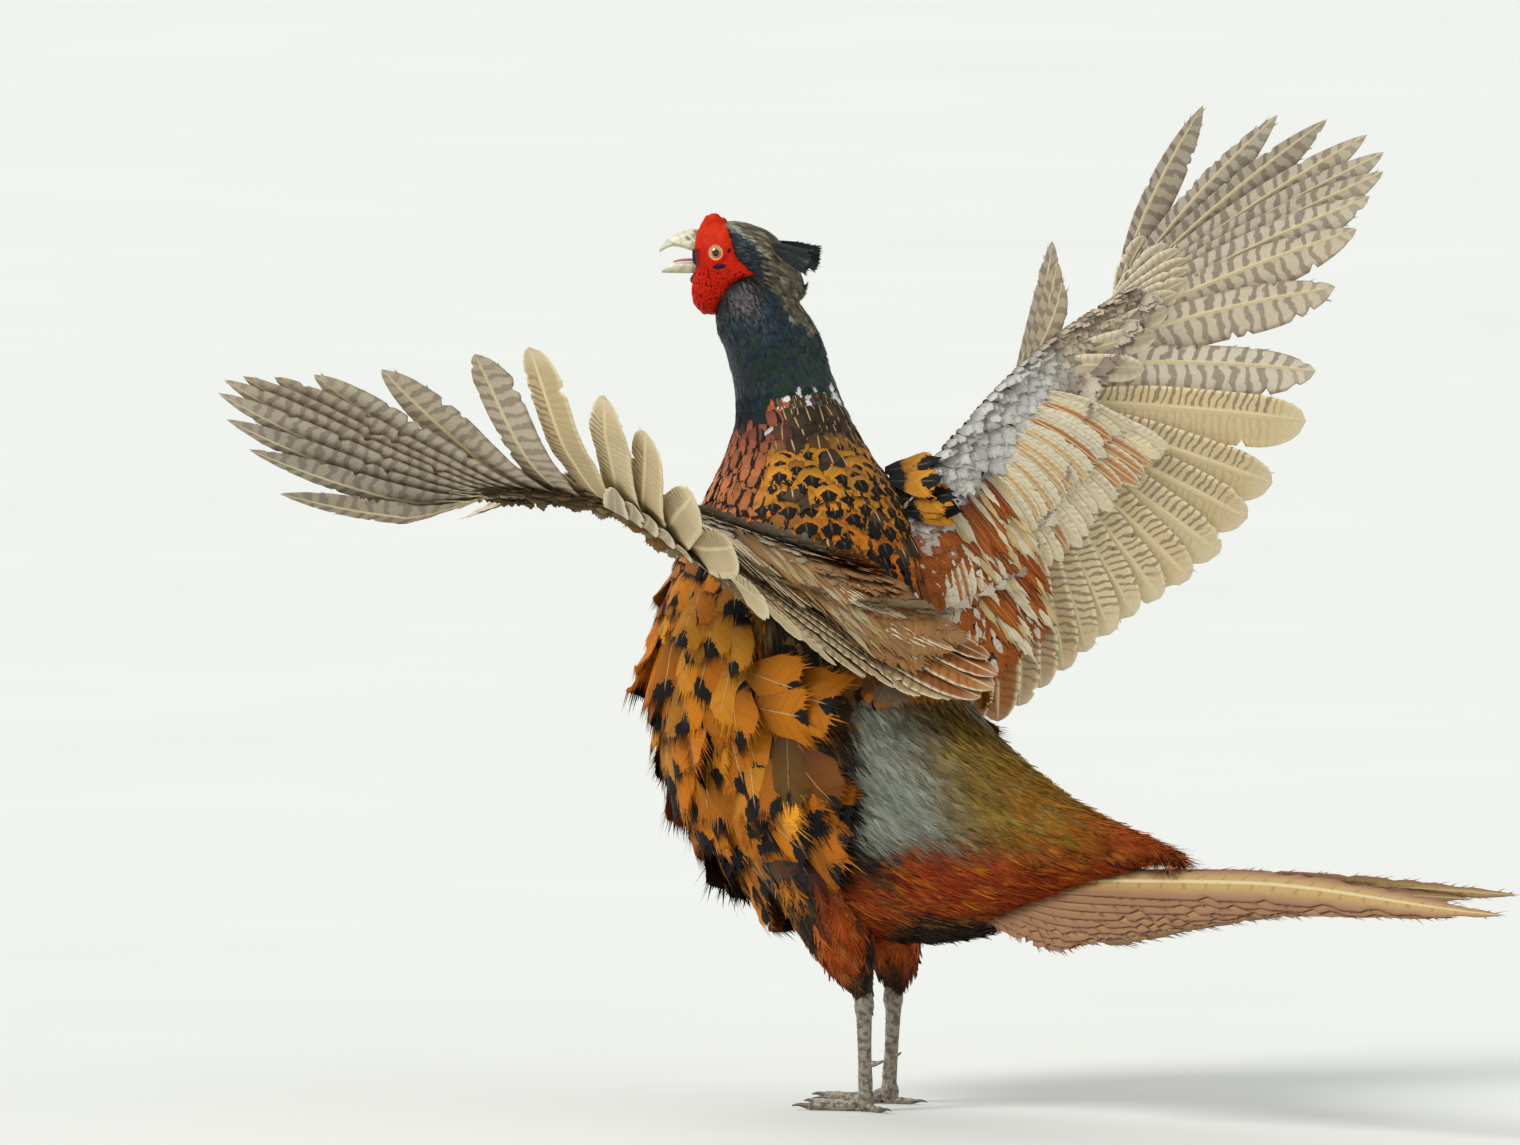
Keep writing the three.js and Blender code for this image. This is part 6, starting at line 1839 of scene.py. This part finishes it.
lid_material, tree, shader = new_material(
    "eyelid", roughness=0.45, subsurface_weight=0.2, subsurface_scale=0.001
)
tint = add(tree, "ShaderNodeAttribute", attribute_name="ground").outputs["Color"]
crease = noise(tree, 2200.0, 2.0)
worn = math(tree, "MULTIPLY", slope(tree, crease, 0.5, 0.7), 0.4)
dress(tree, shader, mix(tree, worn, tint, rgba("9c4a2e")), crease, 0.5, 0.0002)
for name, side in (("left", 1), ("right", -1)):
    turns, rings_count = 64, 40
    turn = np.arange(turns) * 2 * np.pi / turns
    slant = np.linspace(0, np.pi, rings_count + 1)[1:-1]
    radius = EYE_RADIUS * (1 + 0.045 * np.exp(-((slant / 0.42) ** 2)))
    forward = (radius * np.sin(slant))[:, None] * np.cos(turn)
    up = (radius * np.sin(slant))[:, None] * np.sin(turn)
    out = EYE_SIDE + (radius * np.cos(slant))[:, None] + 0 * turn
    poles = head_point(
        [0, 0], [0, 0], [side * (EYE_SIDE + EYE_RADIUS * 1.045), side * (EYE_SIDE - EYE_RADIUS)]
    )
    points = np.concatenate([head_point(forward, up, side * out).reshape(-1, 3), poles])
    last = len(slant) - 1
    i, j = np.meshgrid(np.arange(last), np.arange(turns), indexing="ij")
    after = (j + 1) % turns
    quads = np.stack([i * turns + j, (i + 1) * turns + j, (i + 1) * turns + after, i * turns + after], -1)
    quads = quads.reshape(-1, 4)
    k = np.arange(turns)
    front = np.stack([np.full(turns, len(points) - 2), k, (k + 1) % turns], -1)
    rear = np.stack([np.full(turns, len(points) - 1), last * turns + (k + 1) % turns, last * turns + k], -1)
    faces = [quads, front, rear] if side > 0 else [f[:, ::-1] for f in (quads, front, rear)]
    share = np.where(slant < np.pi / 2, np.sin(slant), 1.0)
    around_it = np.broadcast_to(turn / (2 * np.pi), (len(slant), turns))
    on_ball = np.stack([around_it, np.broadcast_to(share[:, None], around_it.shape)], -1)
    uv = np.concatenate([on_ball.reshape(-1, 2), [[0, 0], [0, 1]]])
    eyeball = new_mesh(f"eye_{name}", points, faces, {"eye": uv})
    new_piece(f"eye_{name}", eyeball, eye_material, "eye", f"eye_{name}")

    tube_turns = 14
    turns = 120
    turn = np.arange(turns) * 2 * np.pi / turns
    roll = np.arange(tube_turns) * 2 * np.pi / tube_turns
    wrinkle = 0.06 * np.sin(turn * 31 + 1.5 * np.sin(turn * 3)) + 0.05 * np.sin(turn * 19)
    reach = 4.15 + 0.78 * np.cos(roll)[:, None] + wrinkle * 0.5
    rise = EYE_SIDE + 4.25 + 0.62 * np.sin(roll)[:, None] + wrinkle - 0.10 * (reach - 4.15)
    tall = 1 + 0.04 * np.cos(2 * turn)
    points = head_point(reach * np.cos(turn), reach * np.sin(turn) / tall, side * rise).reshape(-1, 3)
    i, j = np.meshgrid(np.arange(tube_turns), np.arange(turns), indexing="ij")
    i_after, j_after = (i + 1) % tube_turns, (j + 1) % turns
    quads = np.stack([i * turns + j, i * turns + j_after, i_after * turns + j_after, i_after * turns + j], -1)
    quads = quads.reshape(-1, 4)
    tones = mixed(
        np.broadcast_to(colour("e6c49a"), (*reach.shape, 3)), ease(reach, 4.35, 4.7), colour("c23a22")
    )
    tones = mixed(tones, np.exp(-(((reach - 4.28) / 0.12) ** 2)), colour("3a1712")).reshape(-1, 3)
    lid = new_mesh(f"eyelid_{name}", points, quads if side > 0 else quads[:, ::-1], None, {"ground": tones})
    new_piece(f"eyelid_{name}", lid, lid_material, "face_skin")


# The bill, open as in crowing: a hooked upper half with nostrils, a shorter lower half, both of pale horn
# dark speckled at the base, and the wet tongue between them, which stands out of the front of the head.
BILL_UPPER = np.array(
    [
        [12.5, 11.6, -1.2, 6.2], [18, 12.3, 0.2, 5.4], [23, 11.2, 1.6, 4.5], [28, 9.1, 2.4, 3.5],
        [32, 6.2, 1.3, 2.4], [35, 2.6, -0.4, 1.3], [36.3, 0.4, -1.1, 0.5],
    ],
    float,
)
BILL_LOWER = np.array(
    [
        [12.5, -6.8, -12.4, 5.6], [18, -6.6, -12.8, 4.9], [23, -6.9, -12.9, 4.2], [28, -7.8, -13, 3.3],
        [32, -9.6, -13, 2.3], [35, -11.6, -12.9, 0.8],
    ],
    float,
)
TONGUE = np.array(
    [[11, -4.6, -6.2, 2.6], [18, -4.4, -6.1, 2.4], [24, -4.9, -6.4, 1.7], [28, -6, -7.1, 0.7]], float
)


def bill_point(rows, round_top, ring, angle):
    """A bill half: a rounded top over a flatter hollow underside, or the other way up, with a slight edge
    where they meet and a keel along the top."""
    ring, angle = np.broadcast_arrays(np.asarray(ring, float), np.asarray(angle, float))
    forward, top, bottom, half = np.moveaxis(read_rows(rows, ring), -1, 0)
    tall = top - bottom
    high = np.sin(angle)
    rounded = (high > 0) == round_top
    flat = np.where(rounded, high, high * 0.35)
    base = bottom + tall * 0.26 if round_top else top - tall * 0.26
    keel = 0.05 * tall * np.exp(-(((np.abs(np.cos(angle))) / 0.3) ** 2)) * rounded * (1 if round_top else -1)
    lip = 1 + 0.05 * np.exp(-((high / 0.25) ** 2))
    return head_point(forward, base + flat * tall * 0.74 + keel, half * np.cos(angle) * lip)


horn_material, tree, shader = new_material(
    "bill_horn", roughness=0.38, specular_ior_level=0.45, subsurface_weight=0.2, subsurface_scale=0.002
)
tint = add(tree, "ShaderNodeAttribute", attribute_name="ground").outputs["Color"]
growth = noise(tree, 240.0, 4.0, Distortion=0.6)
grown = math(tree, "MULTIPLY", slope(tree, growth, 0.42, 0.66), 0.55)
horn = mix(tree, grown, tint, rgba("9d9a80"))
specks = math(tree, "MULTIPLY", slope(tree, noise(tree, 900.0, 2.0), 0.58, 0.68), 0.5)
dress(tree, shader, mix(tree, specks, horn, rgba("6d6250")), growth, 0.35, 0.0004)
for name, rows, round_top in (("bill_upper", BILL_UPPER, True), ("bill_lower", BILL_LOWER, False)):
    points, faces = closed_loft(
        lambda r, a: bill_point(rows, round_top, r, a), np.linspace(0, len(rows) - 1, 60), 48
    )
    local = to_head(points)
    if round_top:
        hole = np.hypot((local[:, 0] - 18.5) / 2.0, (local[:, 1] - 7.2 - 0.25 * (local[:, 0] - 18.5)) / 0.85)
        local[:, 2] -= np.sign(local[:, 2]) * 1.5 * (1 - ease(hole, 0.5, 1.2)) * (np.abs(local[:, 2]) > 1.5)
        points = head_point(*local.T)
    tones = np.broadcast_to(colour("dcdac2"), (len(points), 3)).copy()
    tones = mixed(tones, ease(local[:, 0], 30, 36), colour("c6c4aa"))
    base_dark = (1 - ease(local[:, 0] + rng.uniform(-2.5, 2.5, len(points)), 14.0, 16.5)) * 0.75
    tones = mixed(tones, base_dark, colour("30281f"))
    # The nostrils are only shallow dents, painted near black: painted shade inside the openings.
    if round_top:
        tones = mixed(tones, 1 - ease(hole, 0.5, 1.0), colour("1c1511"))
    half = new_mesh(name, points, faces, None, {"ground": tones})
    new_piece(name, half, horn_material, "horn", name)

tongue_material, tree, shader = new_material(
    "mouth_lining", roughness=0.3, subsurface_weight=0.3, subsurface_scale=0.002
)
wet = noise(tree, 500.0, 3.0)
dress(tree, shader, mix(tree, wet, rgba("7d2f2c"), rgba("c0706a")), wet, 0.4, 0.0003)
points, faces = closed_loft(lambda r, a: bill_point(TONGUE, True, r, a), np.linspace(0, 3, 24), 24)
new_piece("tongue", new_mesh("tongue", points, faces), tongue_material, "tongue", "tongue")


# Legs and feet: bare, with a double row of broad plates down the front of the shank and along the toes,
# and small round scales behind. Each shank has a blunt spur, and each toe a short curved claw.
def path_frames(rows, stations):
    """Places, radii and the way ahead along a smooth path given by rows of x, y, z and radius."""
    at = read_rows(rows, stations)
    last = len(rows) - 1
    after, before = (np.clip(stations + step, 0, last) for step in (0.02, -0.02))
    ahead = unit((read_rows(rows, after) - read_rows(rows, before))[:, :3])
    return at[:, :3], at[:, 3], ahead


def plated_tube(rows, steps, sides, front, plate, depth):
    """A tube along a path. Round the side that faces front it carries broad plates, one for each plate
    length along the path and parted down the middle, and behind small scales."""
    stations = np.linspace(0, len(rows) - 1, steps)
    at, radius, ahead = path_frames(rows, stations)
    front = unit(front - ahead * (ahead * front).sum(-1, keepdims=True))
    aside = np.cross(ahead, front)
    angle = np.arange(sides) * 2 * np.pi / sides
    travelled = np.concatenate([[0], np.cumsum(np.linalg.norm(np.diff(at, axis=0), axis=1))])
    facing = np.cos(angle)
    half = np.sign(np.sin(angle)) * 0.25
    row = travelled[:, None] / plate + half * (facing > 0.15) + 0.18 * np.abs(np.sin(angle)) * (facing > 0.15)
    groove = np.exp(-(((row % 1 - 0.5) / 0.5 - np.sign(row % 1 - 0.5)) / 0.16) ** 2)
    seam = np.exp(-((angle[None] - np.where(angle > np.pi, 2 * np.pi, 0)) / 0.09) ** 2)
    side_seam = np.exp(-(((np.abs(facing) - 0.05) / 0.09) ** 2))[None]
    swell = 0.5 * (1 - np.abs(2 * (row % 1) - 1))
    small = 0.5 + 0.5 * np.sin(travelled[:, None] * 2 * np.pi / (plate * 0.4)) * np.sin(angle * 10)
    front_mask = ease(facing, -0.1, 0.15)
    height = front_mask * (
        0.35 * swell - groove - 0.8 * seam
    ) - side_seam * 0.6 + (1 - front_mask) * 0.6 * (small - 0.5)
    ends = np.minimum(1, np.minimum(np.arange(steps), steps - 1 - np.arange(steps)) / 3)[:, None]
    reach = radius[:, None] + depth * height * ends
    forward = front[:, None] * (np.cos(angle) * reach)[..., None]
    points = at[:, None] + forward + aside[:, None] * (np.sin(angle) * reach)[..., None]
    points = np.concatenate([points.reshape(-1, 3), at[[0, -1]]])
    tone = front_mask * (0.8 * groove + 0.6 * seam) + side_seam * 0.5 + (1 - front_mask) * (1 - small) * 0.6
    tone = np.concatenate([np.broadcast_to(tone, reach.shape).ravel(), [0, 0]])
    return points, tube_faces(steps, sides), tone


def scaled_piece(name, parts, slot):
    """One piece from several plated tubes, dark in the grooves between their plates."""
    points, faces = join_forms([part[:2] for part in parts])
    grooves = np.concatenate([part[2] for part in parts])
    tones = mixed(np.broadcast_to(colour("a39a8b"), (len(points), 3)), grooves * 0.8, colour("3e3730"))
    new_piece(name, new_mesh(name, points, faces, None, {"ground": tones}), leg_material, slot, name)


leg_material, tree, shader = new_material("leg_scales", roughness=0.48, specular_ior_level=0.4)
tint = add(tree, "ShaderNodeAttribute", attribute_name="ground").outputs["Color"]
grimy = mix(tree, slope(tree, noise(tree, 320.0, 4.0), 0.4, 0.65), tint, rgba("5a5148"))
fleck = noise(tree, 1500.0, 2.0)
flecked = math(tree, "MULTIPLY", slope(tree, fleck, 0.55, 0.7), 0.5)
dress(tree, shader, mix(tree, flecked, grimy, rgba("3a332d")), fleck, 0.35, 0.0002)
claw_material, tree, shader = new_material("claw_horn", roughness=0.35, specular_ior_level=0.45)
lines = noise(tree, 700.0, 3.0)
dress(tree, shader, mix(tree, lines, rgba("2e2722"), rgba("6e6355")), lines, 0.3, 0.0002)
SHANK_RADIUS = 4.3
FEET = {"left": ([12, -25, 62], [13, -25, 7.5], -6.0, -1), "right": ([-14, 25, 62], [-17, 25, 7.5], 8.0, 1)}
TOES = (("middle", 0, 46, 3.6), ("inner", 36, 34, 3.3), ("outer", -38, 36, 3.3), ("hind", 176, 16, 2.6))
for name, (hock, ankle, turn_out, side) in FEET.items():
    hock, ankle = np.array(hock, float), np.array(ankle, float)
    yaw = np.radians(turn_out)
    ahead = np.array([-np.cos(yaw), -np.sin(yaw), 0.0])
    shank = np.array(
        [
            [*(hock + [0, 0, 12]), SHANK_RADIUS * 0.8],
            [*hock, SHANK_RADIUS * 1.35],
            [*(hock - [0, 0, 9]), SHANK_RADIUS * 1.05],
            [(hock[0] + ankle[0]) / 2, hock[1], hock[2] / 2, SHANK_RADIUS * 0.92],
            [*(ankle + [0, 0, 8]), SHANK_RADIUS],
            [*ankle, SHANK_RADIUS * 0.9],
        ]
    )
    parts = [plated_tube(shank, 170, 44, ahead, 3.7, 0.28)]
    root = ankle + [2, -side * 1.5, 20]
    spur = np.array(
        [[*(root + [t * 11, -side * t * 2, t * t * 3]), 2.2 - 1.8 * t] for t in (0, 0.35, 0.7, 1)]
    )
    parts.append(plated_tube(spur, 24, 16, np.array([0.0, 0, 1]), 40.0, 0.0))
    scaled_piece(f"shank_{name}", parts, "leg_scales")

    parts = []
    for toe, away, length, radius in TOES:
        turned = np.radians(turn_out - away * side)
        along = np.array([-np.cos(turned), -np.sin(turned), 0.0])
        rest = radius * 0.72
        t = np.array([0, 0.16, 0.33, 0.5, 0.67, 0.84, 1])
        level = ankle[2] + (rest - ankle[2]) * ease(t, 0, 0.3)
        knuckle = np.where(np.arange(7) % 2, 1, 0.86)
        rows = np.concatenate(
            [
                (ankle * [1, 1, 0] + along * (t * length)[:, None])[:, :2],
                level[:, None],
                (radius * knuckle * (1 - 0.3 * t))[:, None],
            ],
            1,
        )
        toe_points, group, tone = plated_tube(rows, 110, 30, np.array([0.0, 0, 1]), 2.7, 0.22)
        toe_points[:, 2] = np.maximum(toe_points[:, 2], 0.05)
        parts.append((toe_points, group, tone))
        end = ankle * [1, 1, 0] + along * (length - 1.0) + [0, 0, rest]
        u = np.array([0, 0.2, 0.4, 0.6, 0.8, 1])
        hook = np.where(u > 0.2, 1.3 * np.sin((u - 0.2) * 3) - 0.9 * u, 0)
        claw_path = end + along * (u * 11)[:, None] + np.stack([0 * u, 0 * u, hook], -1)
        claw = np.concatenate([claw_path, (radius * (0.6 - 0.48 * u))[:, None]], 1)
        claw_points, group, _ = plated_tube(claw, 40, 20, np.array([0.0, 0, 1]), 60.0, 0.0)
        claw_points[:, 2] = np.maximum(claw_points[:, 2], 0.05)
        label = f"claw_{name}_{toe}"
        new_piece(label, new_mesh(label, claw_points, group), claw_material, "horn", label)
    ball = np.array(
        [[*(ankle + [0, 0, high]), wide] for high, wide in ((6, 3.6), (1.5, 5.2), (-2, 5.4), (-7.2, 3.6))]
    )
    ball_points, group, tone = plated_tube(ball, 40, 36, ahead, 3.0, 0.3)
    ball_points[:, 2] = np.maximum(ball_points[:, 2], 0.05)
    parts.append((ball_points, group, tone))
    scaled_piece(f"foot_{name}", parts, "leg_scales")


# The feathers of the thighs down to the hock: short and hair like at the hem, longer towards the hip, and
# each of loose barbs rooted in the skin of the leg.
thigh_fields = []
for name, rows in THIGHS.items():
    ring = np.repeat(np.linspace(0.3, 3.75, 26), np.linspace(46, 14, 26).astype(int))
    number = len(ring)
    ring = ring + rng.uniform(-0.06, 0.06, number)
    angle = rng.uniform(0, 2 * np.pi, number)
    here = thigh_point(name, ring, angle, 2.8)
    down = unit(thigh_point(name, ring + 0.05, angle, 2.8) - thigh_point(name, ring - 0.05, angle, 2.8))
    out = unit(here - read_rows(rows, ring)[:, :3])
    size = np.interp(ring, [0, 2, 3, 3.75], [22.0, 17.0, 12.0, 8.0]) * (1 + 0.12 * rng.normal(size=number))
    rise = 0.2 + 0.06 * rng.normal(size=number)
    made = barbed_feathers(
        here, unit(down + out * rise[:, None]), out, size, size * 0.2, 7, 0.8, rise * 0.7, sweep=0.4
    )
    ground, mark, signs = plumage(here, *nearest_ring(here), rng.random(number))
    ground = mixed(ground, 1 - ease(here[:, 2], 70, 112), colour("38281c"))
    on_map = unwrap((angle / (2 * np.pi)) % 1 * 0.45 + (0.5 if name == "right" else 0.0), ring / 4, 0.96)
    tuft = np.clip(ground * (1 + 0.12 * rng.normal(size=(number, 1))), 0, 1)
    thigh_fields.append((*made, tuft, mark, signs, on_map))
feather_piece("thigh_feathers", thigh_fields, plain_plumage, "thigh_plumage")
